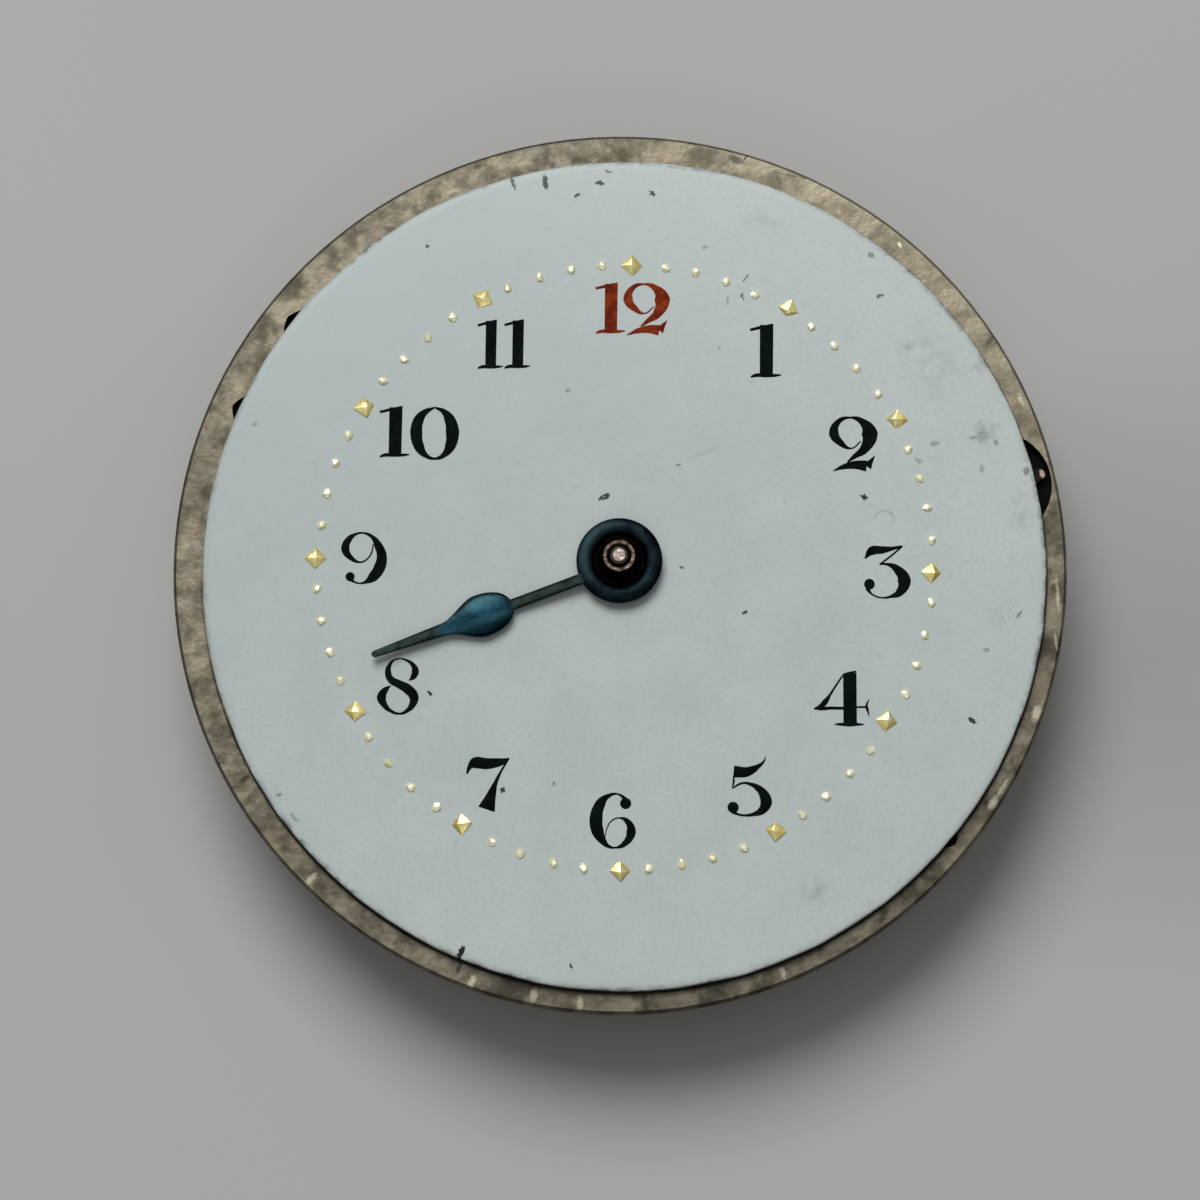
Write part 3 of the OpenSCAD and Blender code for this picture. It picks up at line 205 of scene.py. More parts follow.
def marked(tree, place, marks, wobble, soft):
    """Mask of small long marks with ragged rims.

    A mark is its place, half-length, half-width, direction in degrees and depth."""
    shift = add(tree, "ShaderNodeTexNoise", {"Vector": place, "Scale": 1 / (0.12 * MM), "Detail": 2.0})
    moved = add(tree, "ShaderNodeVectorMath",
                {0: shift.outputs["Color"], 1: (wobble * MM,) * 3, 2: place}, operation="MULTIPLY_ADD")
    flat = add(tree, "ShaderNodeVectorMath", {0: moved.outputs["Vector"], 1: (1.0, 1.0, 0.0)}, operation="MULTIPLY")
    total = 0.0
    for x, y, half_long, half_wide, direction, depth in marks:
        own = add(tree, "ShaderNodeMapping", {
            "Vector": flat.outputs["Vector"], "Location": ((x + wobble / 2) * MM, (y + wobble / 2) * MM, 0),
            "Rotation": (0, 0, math.radians(direction)), "Scale": (half_long * MM, half_wide * MM, 1)},
            vector_type="TEXTURE")
        reach = add(tree, "ShaderNodeVectorMath", {0: own.outputs["Vector"]}, operation="LENGTH")
        mark = add(tree, "ShaderNodeMapRange", {"Value": reach.outputs["Value"], "From Min": 1.0, "From Max": soft,
                                                "To Min": 0.0, "To Max": depth})
        total = maths(tree, "MAXIMUM", total, mark.outputs["Result"])
    return total


# specks, stains and old scratches on the dial: place, half-length, half-width, direction, depth
SPECKS = [
    (-0.56, 2.17, 0.24, 0.1, 33, 0.8), (-1.84, 5.72, 0.1, 0.08, 0, 0.35), (0.75, 12.55, 0.17, 0.05, -45, 0.9),
    (0.75, 12.55, 0.12, 0.05, 45, 0.8), (-0.98, 12.85, 0.18, 0.08, 5, 0.85), (-0.72, 13.27, 0.15, 0.05, -20, 0.5),
    (-1.73, 12.42, 0.15, 0.06, 35, 0.75), (-2.8, 12.84, 0.3, 0.1, 100, 0.8), (-3.86, 12.78, 0.24, 0.08, 110, 0.7),
    (-6.64, 10.53, 0.08, 0.06, 0, 0.8), (4.13, -1.54, 0.1, 0.07, 30, 0.75), (11.58, -4.88, 0.2, 0.07, -25, 0.75),
    (-6.04, -4.44, 0.12, 0.07, -50, 0.8), (-1.21, -13.18, 0.05, 0.12, 0, 0.75), (7.94, 2.4, 0.15, 0.08, -20, 0.8),
    (7.94, 2.4, 0.06, 0.14, 0, 0.6), (-3.6, -7.56, 0.1, 0.1, 60, 0.75), (3.93, 9.71, 0.17, 0.04, 50, 0.6),
    (3.84, 9.06, 0.14, 0.05, 110, 0.6), (3.35, 8.92, 0.03, 0.15, 0, 0.35), (3.1, 7.3, 0.07, 0.06, 0, 0.25),
    (1.85, 3.33, 0.12, 0.05, 10, 0.5), (2.03, -0.1, 0.07, 0.05, 0, 0.6), (-1.92, -7.3, 0.08, 0.04, -60, 0.5),
    (8.36, 9.22, 0.14, 0.08, 20, 0.6), (8.04, 10.61, 0.12, 0.1, 0, 0.45), (9.71, 3.66, 0.14, 0.1, 150, 0.25),
    (10.23, 4.26, 0.16, 0.09, 10, 0.3), (12.26, 4.36, 0.1, 0.09, 60, 0.35), (11.5, 4.5, 0.12, 0.07, 20, 0.3),
    (11.79, 3.49, 0.1, 0.16, 0, 0.25), (13.25, 3.42, 0.1, 0.16, 0, 0.4), (13.05, -1.35, 0.18, 0.07, 60, 0.4),
    (12.0, -2.55, 0.12, 0.08, 0, 0.3), (2.6, 3.7, 0.65, 0.09, 24, 0.08), (11.25, -9.35, 0.4, 0.07, 52, 0.45),
    (-10.84, -7.88, 0.12, 0.08, 40, 0.4), (-10.3, -8.6, 0.2, 0.07, -50, 0.3), (-4.78, -12.85, 0.3, 0.1, 70, 0.8),
    (-7.6, -12.0, 0.1, 0.07, 0, 0.3), (2.54, 10.72, 0.1, 0.08, 0, 0.3), (-12.1, 4.4, 0.1, 0.08, 0, 0.25)]
STAINS = [
    (11.86, 4.65, 0.7, 0.5, 20, 0.75), (12.42, -1.24, 0.7, 0.5, 80, 0.35), (6.57, -10.54, 0.7, 0.5, 0, 0.35),
    (10.0, 7.0, 1.8, 1.2, 120, 0.3), (9.33, 7.57, 0.4, 0.3, 0, 0.4), (11.69, 6.96, 0.5, 0.3, 120, 0.5),
    (3.2, 3.93, 0.4, 0.3, 0, 0.2), (4.5, 11.6, 0.9, 0.5, 160, 0.25), (13.1, 2.0, 0.5, 0.9, 0, 0.35)]
GHOST_RING = (8.62, 1.66, 0.31)
PALE_MIDDLE = [(-0.56, 2.17, 0.1, 0.035, 33, 0.7)]


def fired_enamel():
    """White vitreous enamel, fired and polished: cool grey-white, faintly cloudy, with pinholes, old specks and a
    chipped, soiled edge. Painted shade darkens it towards the window at the upper left and, together with the soil,
    blackens its side wall. Painted light brightens it towards the upper right and the bottom."""
    material, tree, shader, place = start("fired white enamel")
    cloud = blotches(tree, place, 2.6, 5.0, 0.36, 0.64)
    colour = blend(tree, cloud, "#acb6b3", "#b5bdbb")
    # painted shade: the enamel darker towards the window at the upper left
    painted_shade_near_window = maths(tree, "MULTIPLY", ramp(tree, along(tree, place, 118), -3.0, 10.0), 0.9)
    colour = blend(tree, painted_shade_near_window, colour, "#a3adab")
    # painted light: the enamel lighter towards the upper right
    pale = maths(tree, "MULTIPLY", ramp(tree, along(tree, place, 40), 3.0, 12.0), 0.6)
    colour = blend(tree, pale, colour, "#bdc3c1")
    # painted reflection: the enamel lighter towards the bottom
    low = maths(tree, "MULTIPLY", ramp(tree, along(tree, place, 285), 5.0, 12.0), 0.4)
    colour = blend(tree, low, colour, "#bcc3c1")
    fine = blotches(tree, place, 0.3, 4.0, 0.58, 0.8)
    colour = blend(tree, maths(tree, "MULTIPLY", fine, 0.3), colour, "#9aa19c")
    speckle = blotches(tree, place, 0.13, 3.0, 0.45, 0.7)
    colour = blend(tree, maths(tree, "MULTIPLY", speckle, 0.22), colour, "#96a198")
    grey = marked(tree, place, STAINS, 1.0, 0.1)
    broken = maths(tree, "MULTIPLY", grey, blotches(tree, place, 0.5, 5.0, 0.4, 0.62))
    colour = blend(tree, broken, colour, "#6d7470")
    ring = maths(tree, "ABSOLUTE", maths(tree, "SUBTRACT", from_axis(tree, place, GHOST_RING), GHOST_RING[2] * MM))
    arc = maths(tree, "MULTIPLY", ramp(tree, ring, 0.06, 0.02), ramp(tree, along(tree, place, 90), 1.5, 1.8))
    ghost = maths(tree, "MULTIPLY", arc, 0.3)
    colour = blend(tree, ghost, colour, "#5f655f")
    specks = maths(tree, "MINIMUM", maths(tree, "MULTIPLY", marked(tree, place, SPECKS, 0.2, 0.74), 1.25), 1.0)
    colour = blend(tree, specks, colour, "#11150f")
    colour = blend(tree, marked(tree, place, PALE_MIDDLE, 0.05, 0.5), colour, "#8f958f")
    away = from_axis(tree, place, DIAL_C)
    chips = maths(tree, "MULTIPLY", blotches(tree, place, 0.5, 6.0, 0.42, 0.6, 0.7),
                  blotches(tree, place, 3.0, 2.0, 0.35, 0.6))
    ragged = maths(tree, "MULTIPLY", ramp(tree, away, 13.6, 13.76), chips)
    colour = blend(tree, maths(tree, "MULTIPLY", ragged, 0.85), colour, "#4d4f45")
    # the side wall near black: soiled edge and painted shade
    soiled_and_shaded_wall = ramp(tree, height_of(tree, place), 4.97, 4.9)
    colour = blend(tree, soiled_and_shaded_wall, colour, "#100f0c")
    tree.links.new(colour, shader.inputs["Base Color"])
    gloss = add(tree, "ShaderNodeMapRange", {"Value": ragged, "To Min": 0.3, "To Max": 0.7})
    tree.links.new(gloss.outputs["Result"], shader.inputs["Roughness"])
    shader.inputs["IOR"].default_value = 1.5
    shader.inputs["Specular IOR Level"].default_value = 0.25
    relief(tree, shader, blotches(tree, place, 1.2, 2.0, 0.3, 0.7), 0.003)
    return material


def painted(name, dark, light, worn):
    """Numeral paint fired onto the enamel: dense, dull, thinner and paler where it wore."""
    material, tree, shader, place = start(name)
    streak = blotches(tree, place, 0.35, 4.0, 0.4, 0.7)
    colour = blend(tree, streak, dark, light)
    thin = blotches(tree, place, 0.12, 3.0, 0.64, 0.74)
    colour = blend(tree, maths(tree, "MULTIPLY", thin, 0.45), colour, worn)
    tree.links.new(colour, shader.inputs["Base Color"])
    shader.inputs["Roughness"].default_value = 0.6
    shader.inputs["Specular IOR Level"].default_value = 0.02
    relief(tree, shader, streak, 0.003)
    return material


def metal(name, light, dark, patch, low=0.4, high=0.62, roughness=(0.25, 0.4), grain=None, dent=0.0015, stain=None,
          shade_heights=None, metallic=1.0):
    """A worked metal: two shades in patches, changing gloss, optional grain, stains and painted shade.

    grain is (direction or axis, spacing in mm, depth in mm), where an axis gives rings about it; stain is (hex,
    share); shade_heights is the two heights in mm between which the metal turns black, painted shade for parts that
    sit down in the hand's hole."""
    material, tree, shader, place = start(name)
    cloud = blotches(tree, place, patch, 5.0, low, high)
    colour = blend(tree, cloud, dark, light)
    if stain:
        spots = blotches(tree, place, patch * 0.45, 6.0, 0.54, 0.68, 0.65)
        colour = blend(tree, maths(tree, "MULTIPLY", spots, stain[1]), colour, stain[0])
    gloss = add(tree, "ShaderNodeMapRange", {"Value": cloud, "To Min": roughness[1], "To Max": roughness[0]})
    gloss = gloss.outputs["Result"]
    height = blotches(tree, place, patch * 0.5, 3.0, 0.3, 0.7)
    if grain:
        direction, spacing, depth = grain
        if isinstance(direction, str):
            stretch = tuple(0.02 if axis == direction else 1.0 for axis in "xyz")
            across = add(tree, "ShaderNodeMapping", {"Vector": place, "Scale": stretch}).outputs["Vector"]
        else:
            across = from_axis(tree, place, direction)
        lines = add(tree, "ShaderNodeTexNoise", {"Vector": across, "Scale": 1 / (spacing * MM), "Detail": 3.0,
                                                 "Roughness": 0.7})
        height = maths(tree, "MULTIPLY_ADD", height, dent / depth, lines.outputs["Fac"])
        dent = depth
    if shade_heights:
        # painted shade: the metal turns black between the two heights, for parts down in the hand's hole
        black = ramp(tree, height_of(tree, place), *shade_heights)
        colour = blend(tree, black, colour, "#0d0b09")
        gloss = maths(tree, "MAXIMUM", gloss, maths(tree, "MULTIPLY", black, 0.8))
    tree.links.new(colour, shader.inputs["Base Color"])
    tree.links.new(gloss, shader.inputs["Roughness"])
    shader.inputs["Metallic"].default_value = metallic
    relief(tree, shader, height, dent)
    return material


# worn places on the rim: place, half-length, half-width, direction, depth
RIM_DARK = [
    (3.85, 14.0, 0.2, 0.04, 55, 0.95), (3.54, 13.9, 0.35, 0.16, 160, 0.75), (2.06, 14.45, 0.22, 0.08, 165, 0.8),
    (5.4, 13.4, 0.75, 0.03, 170, 0.6), (4.95, 13.25, 0.4, 0.03, 110, 0.5), (12.04, 7.9, 0.3, 0.1, 60, 0.6),
    (-12.0, -7.3, 0.25, 0.12, 40, 0.85), (-12.3, -7.6, 0.3, 0.05, 20, 0.6), (-4.83, -13.25, 0.3, 0.1, 70, 0.8),
    (12.9, -6.1, 0.25, 0.1, 70, 0.6), (14.35, 0.9, 0.3, 0.15, 60, 0.5), (14.1, 0.2, 0.2, 0.1, 90, 0.5)]
RIM_BRIGHT = [
    (9.02, 11.1, 0.14, 0.07, 120, 0.9), (14.35, -0.6, 0.07, 0.7, 4, 0.4), (14.3, -2.1, 0.06, 0.4, 8, 0.35),
    (12.6, -7.0, 0.07, 0.5, -30, 0.4), (13.1, 5.9, 0.1, 0.3, 25, 0.3), (-4.4, -13.7, 0.3, 0.14, 70, 0.5),
    (-2.4, -14.1, 0.3, 0.16, 80, 0.45), (-0.9, -14.3, 0.25, 0.12, 90, 0.4), (5.6, -13.15, 0.3, 0.12, 110, 0.4),
    (12.3, -7.5, 0.16, 0.3, -30, 0.5), (13.7, -4.5, 0.2, 0.35, -15, 0.5), (-9.7, -10.5, 0.12, 0.3, -40, 0.4)]


def worn_nickel():
    """Nickel plating on the brass plate, a century old: soft warm patches, dark tarnish, and dirt in the corner
    against the dial. Painted shade darkens the rim towards the bottom, at the upper left and in that corner, and turns
    the lever's opening and the nicks near black. A painted highlight brightens it at the upper right."""
    material, tree, shader, place = start("worn nickel plating")
    rim = from_axis(tree, place, (0, 0))
    on_rim = ramp(tree, rim, 13.7, 13.75)
    wide = blotches(tree, place, 1.2, 3.0, 0.4, 0.6, 0.5)
    colour = blend(tree, wide, "#524d40", "#7b7361")
    grain = blotches(tree, place, 0.3, 5.0, 0.35, 0.7)
    colour = blend(tree, maths(tree, "MULTIPLY", grain, 0.3), colour, "#8d8470")
    pink = blotches(tree, place, 0.8, 3.0, 0.5, 0.7)
    colour = blend(tree, maths(tree, "MULTIPLY", pink, 0.35), colour, "#786859")
    dark = blotches(tree, place, 0.9, 5.0, 0.46, 0.64, 0.6)
    # dark tarnish patches, made stronger towards the bottom as painted shade
    lower = ramp(tree, along(tree, place, 295), -4.0, 13.0)
    tarnish_and_painted_shade = maths(tree, "MULTIPLY_ADD", lower, 0.3, 0.65)
    colour = blend(tree, maths(tree, "MULTIPLY", dark, tarnish_and_painted_shade), colour, "#33311f")
    # painted shade on the rim's outer edge at the upper left
    painted_shade_outer_upper_left = maths(tree, "MULTIPLY", ramp(tree, rim, 14.3, 14.6), ramp(tree, along(tree, place, 150), 2.0, 10.0))
    colour = blend(tree, maths(tree, "MULTIPLY", painted_shade_outer_upper_left, 0.35), colour, "#46433a")
    # painted shade: the rim darker towards the bottom
    low = maths(tree, "MULTIPLY", maths(tree, "MULTIPLY", lower, on_rim), 0.2)
    colour = blend(tree, low, colour, "#3b3833")
    # painted shade: the rim darker towards the upper left
    high = maths(tree, "MULTIPLY", ramp(tree, along(tree, place, 125), -2.0, 12.0), 0.35)
    colour = blend(tree, high, colour, "#3f3b30")
    # painted highlight on the rim at the upper right
    painted_highlight_upper_right = maths(tree, "MULTIPLY", ramp(tree, along(tree, place, 48), 10.5, 14.2), 0.5)
    colour = blend(tree, painted_highlight_upper_right, colour, "#877f6b")
    on_top = ramp(tree, height_of(tree, place), PLATE_TOP - 0.09, PLATE_TOP - 0.04)
    struck = maths(tree, "MULTIPLY", marked(tree, place, RIM_DARK, 0.1, 0.5), on_top)
    colour = blend(tree, struck, colour, "#26261d")
    rubbed = maths(tree, "MULTIPLY", marked(tree, place, RIM_BRIGHT, 0.16, 0.4), on_top)
    colour = blend(tree, rubbed, colour, "#c9bfa9")
    # dirt and painted shade in the corner against the dial
    corner = maths(tree, "MULTIPLY", ramp(tree, from_axis(tree, place, DIAL_C), 13.9, 13.84), on_rim)
    colour = blend(tree, maths(tree, "MULTIPLY", corner, 0.95), colour, "#0d0c09")
    # painted shade: near black in the lever's opening and inside the nicks
    opening = ramp(tree, from_axis(tree, place, NOTCH_C), NOTCH_R + 0.08, NOTCH_R + 0.03)
    opening = maths(tree, "MULTIPLY", opening, ramp(tree, height_of(tree, place), 3.6, 3.65))
    nicks = maths(tree, "MULTIPLY", marked(tree, place, NICKS, 0.0, 0.95),
                  ramp(tree, height_of(tree, place), PLATE_TOP - 0.36, PLATE_TOP - 0.32))
    opening = maths(tree, "MAXIMUM", opening, nicks)
    hole = maths(tree, "MULTIPLY", opening, ramp(tree, height_of(tree, place), PLATE_TOP - 0.02, PLATE_TOP - 0.06))
    colour = blend(tree, hole, colour, "#0a0908")
    tree.links.new(colour, shader.inputs["Base Color"])
    shader.inputs["Metallic"].default_value = 0.7
    gloss = add(tree, "ShaderNodeMapRange", {"Value": dark, "To Min": 0.36, "To Max": 0.52})
    rough = maths(tree, "MAXIMUM", gloss.outputs["Result"], maths(tree, "MULTIPLY", hole, 0.9))
    tree.links.new(rough, shader.inputs["Roughness"])
    relief(tree, shader, maths(tree, "ADD", grain, dark), 0.004)
    return material


def shaded_lever_steel():
    """Steel of the setting lever, painted near black as shade of the rim's opening it lies in, with one small lighter
    place on its raised nose.
    """
    material, tree, shader, place = start("setting lever steel, painted near black as shade")
    bare = maths(tree, "MULTIPLY", marked(tree, place, [(13.82, 3.5, 0.17, 0.1, 110, 1.0)], 0.1, 0.6),
                 ramp(tree, height_of(tree, place), 4.3, 4.36))
    # painted shade: the lever near black
    old = blend(tree, blotches(tree, place, 0.5, 3.0, 0.4, 0.6), "#12100e", "#26221e")
    colour = blend(tree, bare, old, "#8b7970")
    tree.links.new(colour, shader.inputs["Base Color"])
    shader.inputs["Metallic"].default_value = 1.0
    shader.inputs["Roughness"].default_value = 0.45
    relief(tree, shader, blotches(tree, place, 0.2, 3.0, 0.3, 0.7), 0.003)
    return material


def blued_hand():
    """Heat-blued steel, dulled with age: grey-green shanks; a teal bulb that still shines, with a painted highlight
    band and painted shade on its lower edge; and a slate boss with a painted highlight on its left and painted shade
    next to its hole.
    """
    material, tree, shader, place = start("heat-blued steel hand")
    away = from_axis(tree, place, (0, 0))
    rust = blotches(tree, place, 0.4, 4.0, 0.42, 0.68)
    shank = blend(tree, rust, "#29342f", "#171e1b")
    teal = blend(tree, blotches(tree, place, 0.7, 2.0, 0.38, 0.62), "#10272f", "#163440")
    own = add(tree, "ShaderNodeMapping", {"Vector": place, "Rotation": (0, 0, HAND_ANGLE)}, vector_type="TEXTURE")
    beside = add(tree, "ShaderNodeSeparateXYZ", {"Vector": own.outputs["Vector"]}).outputs["Y"]
    beside = maths(tree, "SUBTRACT", beside, ARM_OFF * MM)
    filed = ramp(tree, maths(tree, "ABSOLUTE", beside), 0.07, 0.14)
    shank = blend(tree, maths(tree, "MULTIPLY", filed, 0.8), shank, "#050707")
    upper = maths(tree, "MULTIPLY", ramp(tree, beside, 0.0, -0.45), 0.75)
    teal = blend(tree, upper, teal, "#1e3132")
    # painted highlight: a paler band across the bulb's lower half
    painted_highlight_band = maths(tree, "MULTIPLY", ramp(tree, beside, 0.02, 0.2), ramp(tree, beside, 0.42, 0.26))
    teal = blend(tree, maths(tree, "MULTIPLY", painted_highlight_band, 0.5), teal, "#305662")
    # painted shade: the bulb's lower edge near black
    edge = maths(tree, "MULTIPLY", ramp(tree, beside, 0.46, 0.64), 0.85)
    teal = blend(tree, edge, teal, "#050c10")
    bulb = maths(tree, "MULTIPLY", ramp(tree, away, 3.65, 4.0), ramp(tree, away, 6.5, 5.9))
    colour = blend(tree, bulb, shank, teal)
    worn = maths(tree, "MULTIPLY", bulb, blotches(tree, place, 0.25, 4.0, 0.62, 0.75))
    colour = blend(tree, maths(tree, "MULTIPLY", worn, 0.25), colour, "#4f6866")
    slate = blend(tree, blotches(tree, place, 0.5, 3.0, 0.4, 0.6), "#0d1019", "#172226")
    # painted highlight on the boss's left side
    painted_highlight_left = maths(tree, "MULTIPLY", ramp(tree, along(tree, place, 165), 0.5, 1.3), 0.65)
    slate = blend(tree, painted_highlight_left, slate, "#2a3c3f")
    colour = blend(tree, ramp(tree, away, 1.5, 1.42), colour, slate)
    # painted shade: the boss near black next to its hole
    colour = blend(tree, ramp(tree, away, 0.93, 0.88), colour, "#050506")
    tree.links.new(colour, shader.inputs["Base Color"])
    shader.inputs["Metallic"].default_value = 1.0
    gloss = add(tree, "ShaderNodeMapRange", {"Value": bulb, "To Min": 0.5, "To Max": 0.36})
    tree.links.new(gloss.outputs["Result"], shader.inputs["Roughness"])
    relief(tree, shader, rust, 0.005)
    return material


def ruby():
    """Synthetic ruby of the jewels: deep pink-red, clear and polished."""
    material, tree, shader, place = start("polished ruby")
    cloud = blotches(tree, place, 0.4, 2.0, 0.3, 0.7)
    colour = blend(tree, cloud, "#a01838", "#c43a58")
    tree.links.new(colour, shader.inputs["Base Color"])
    shader.inputs["Roughness"].default_value = 0.06
    shader.inputs["IOR"].default_value = 1.76
    shader.inputs["Transmission Weight"].default_value = 0.35
    return material


ENAMEL = fired_enamel()
BLACK_PAINT = painted("black fired paint", "#05090a", "#0c1414", "#222b2a")
RED_PAINT = painted("red fired paint", "#5e1c0e", "#8c3a1a", "#a8643f")
NICKEL = worn_nickel()
BRIDGE = metal("grained nickel plating", "#c9c4b8", "#aea89b", 2.5, grain=("x", 0.06, 0.002), roughness=(0.26, 0.38),
               stain=("#857c6a", 0.45))
GILT = metal("gilt copper", "#fff4ae", "#ecd584", 0.4, roughness=(0.22, 0.34), dent=0.006, metallic=0.75)
PALE_GILT = metal("rubbed gilt copper", "#fffde6", "#f4ecba", 0.12, roughness=(0.2, 0.34), dent=0.004, metallic=0.55)
COPPER = metal("bare copper", "#c9835c", "#8f5238", 0.5)
BRASS = metal("train brass", "#d8b566", "#b8924a", 1.2, roughness=(0.2, 0.34), stain=("#8a6a38", 0.4))
# the hour pipe's top painted black: painted shade of the hand's hole
STAINED_SHADED_BRASS = metal("stained brass of the hour pipe, painted shade at its top", "#c8a45c", "#8f7040", 0.8, roughness=(0.3, 0.5),
                     stain=("#4a3518", 0.6), shade_heights=(4.9, 5.3))
STEEL = metal("polished steel", "#bcbcb9", "#959592", 0.6, roughness=(0.14, 0.28), stain=("#6a655d", 0.3))
GREY_STEEL = metal("hardened grey steel", "#a7a6a2", "#838280", 0.8, roughness=(0.22, 0.4), stain=("#5b5247", 0.4))
# the cannon pinion painted black below its top: painted shade of the hand's hole
WORN_SHADED_STEEL = metal("worn steel of the cannon pinion", "#63574f", "#35291f", 0.2, roughness=(0.3, 0.45),
                   stain=("#2a1d15", 0.8), shade_heights=(6.5, 6.38), dent=0.008)
BRIGHT_STEEL = metal("rubbed steel of the arbor's tip", "#a0958f", "#75685f", 0.15, roughness=(0.35, 0.45), dent=0.006)
RATCHET_STEEL = metal("snailed ratchet wheel steel", "#c0c0bd", "#a2a2a0", 1.0, roughness=(0.16, 0.26),
                      grain=(BARREL_C, 0.07, 0.002), stain=("#7a756b", 0.25))
CROWN_STEEL = metal("snailed crown wheel steel", "#c0c0bd", "#a2a2a0", 1.0, roughness=(0.16, 0.26),
                    grain=(CROWN_C, 0.07, 0.002), stain=("#7a756b", 0.25))
LEVER_STEEL = shaded_lever_steel()
BLUE_HAND = blued_hand()
BLUE_SCREW = metal("heat-blued steel screw", "#2c4784", "#1e2f5e", 0.5, roughness=(0.12, 0.24), dent=0.0006)
BLUE_SPRING = metal("blued hairspring steel", "#3a62a0", "#233c70", 0.6, roughness=(0.2, 0.32))
SPRING = metal("tempered spring steel", "#7c858c", "#5c646c", 0.6, roughness=(0.25, 0.4))
RUBY = ruby()

SLOT_FINISH = {
    "nickel_plate": NICKEL, "nickel_bridge": BRIDGE, "white_enamel": ENAMEL, "gilt": GILT, "copper": COPPER,
    "train_brass": BRASS, "polished_steel": STEEL, "blued_steel": BLUE_HAND, "blued_screw": BLUE_SCREW,
    "spring_steel": SPRING, "ruby": RUBY}
# nodes whose surface was worked or wore in another way than the rest of their slot; the setting lever, the hour wheel
# and the cannon pinion also carry painted shade
NODE_FINISH = {
    "hour_wheel": STAINED_SHADED_BRASS, "cannon_pinion": WORN_SHADED_STEEL, "centre_arbor": BRIGHT_STEEL,
    "ratchet_wheel": RATCHET_STEEL, "crown_wheel": CROWN_STEEL, "setting_lever": LEVER_STEEL, "click": GREY_STEEL,
    "setting_cover": GREY_STEEL, "setting_wheel": GREY_STEEL, "winding_pinion": GREY_STEEL, "clutch": GREY_STEEL,
    "pallet_fork": GREY_STEEL}

node_slot = {part["node"]: part["material_slot"] for part in frame["record"]["subparts"]}
node_finish = {name: NODE_FINISH.get(name, SLOT_FINISH[slot]) for name, slot in node_slot.items()}


def dress(obj, *materials):
    obj.data.materials.clear()
    for material in materials:
        obj.data.materials.append(material)


for name, obj in NODES.items():
    dress(obj, node_finish[name])


# ---- shared makers ----


def finished(name, mesh, material, body, node=None, sharp=30):
    """Turns a bmesh in millimetres into a piece in metres that rides on a body and may stand for a node."""
    bmesh.ops.scale(mesh, vec=(MM,) * 3, verts=mesh.verts)
    data = bpy.data.meshes.new(name)
    mesh.to_mesh(data)
    mesh.free()
    data.shade_smooth()
    data.set_sharp_from_angle(angle=math.radians(sharp))
    data.materials.append(material)
    piece = bpy.data.objects.new(name, data)
    bpy.context.scene.collection.objects.link(piece)
    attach(piece, body)
    if node:
        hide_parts(node)
    return piece


def turned(points, steps, centre=(0, 0)):
    """A bmesh turned round an upright axis from an open or closed profile of (radius, height)."""
    mesh = bmesh.new()
    verts = [mesh.verts.new((r, 0, z)) for r, z in points]
    edges = [mesh.edges.new(pair) for pair in zip(verts, verts[1:] + verts[:1])]
    bmesh.ops.spin(mesh, geom=verts + edges, cent=(0, 0, 0), axis=(0, 0, 1), dvec=(0, 0, 0),
                   angle=2 * math.pi, steps=steps, use_merge=True)
    bmesh.ops.remove_doubles(mesh, verts=mesh.verts, dist=1e-5)
    bmesh.ops.recalc_face_normals(mesh, faces=mesh.faces)
    bmesh.ops.translate(mesh, vec=(centre[0], centre[1], 0), verts=mesh.verts)
    return mesh


# softened nodes: the angle in degrees from which an edge is shaded sharp, and the upright part of a
# normal from which a face is shaded flat, so that no smear runs from it into the broken edges
SOFT_SHARP = 20
FLAT_FROM = 0.9999


def softened(node, width, corner=35, segments=2):
    """A copy of a CAD node with its sharp edges broken, which stands for the node."""
    mesh = bmesh.new()
    mesh.from_mesh(NODES[node].data)
    bmesh.ops.scale(mesh, vec=(1 / MM,) * 3, verts=mesh.verts)
    bmesh.ops.remove_doubles(mesh, verts=mesh.verts, dist=1e-4)
    bmesh.ops.dissolve_limit(mesh, angle_limit=math.radians(1), verts=mesh.verts, edges=mesh.edges)
    sharp = [e for e in mesh.edges if len(e.link_faces) == 2 and e.calc_face_angle() > math.radians(corner)]
    bmesh.ops.bevel(mesh, geom=sharp, offset=width, offset_type="OFFSET", affect="EDGES", segments=segments,
                    profile=0.5, material=-1, clamp_overlap=True)
    bmesh.ops.triangulate(mesh, faces=[f for f in mesh.faces if len(f.verts) > 4])
    body = NODES[node]["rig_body"]
    piece = finished(node + "_soft", mesh, node_finish[node], body, node, SOFT_SHARP)
    for face in piece.data.polygons:
        face.use_smooth = abs(face.normal.z) < FLAT_FROM
    return piece


# ---- dial ----


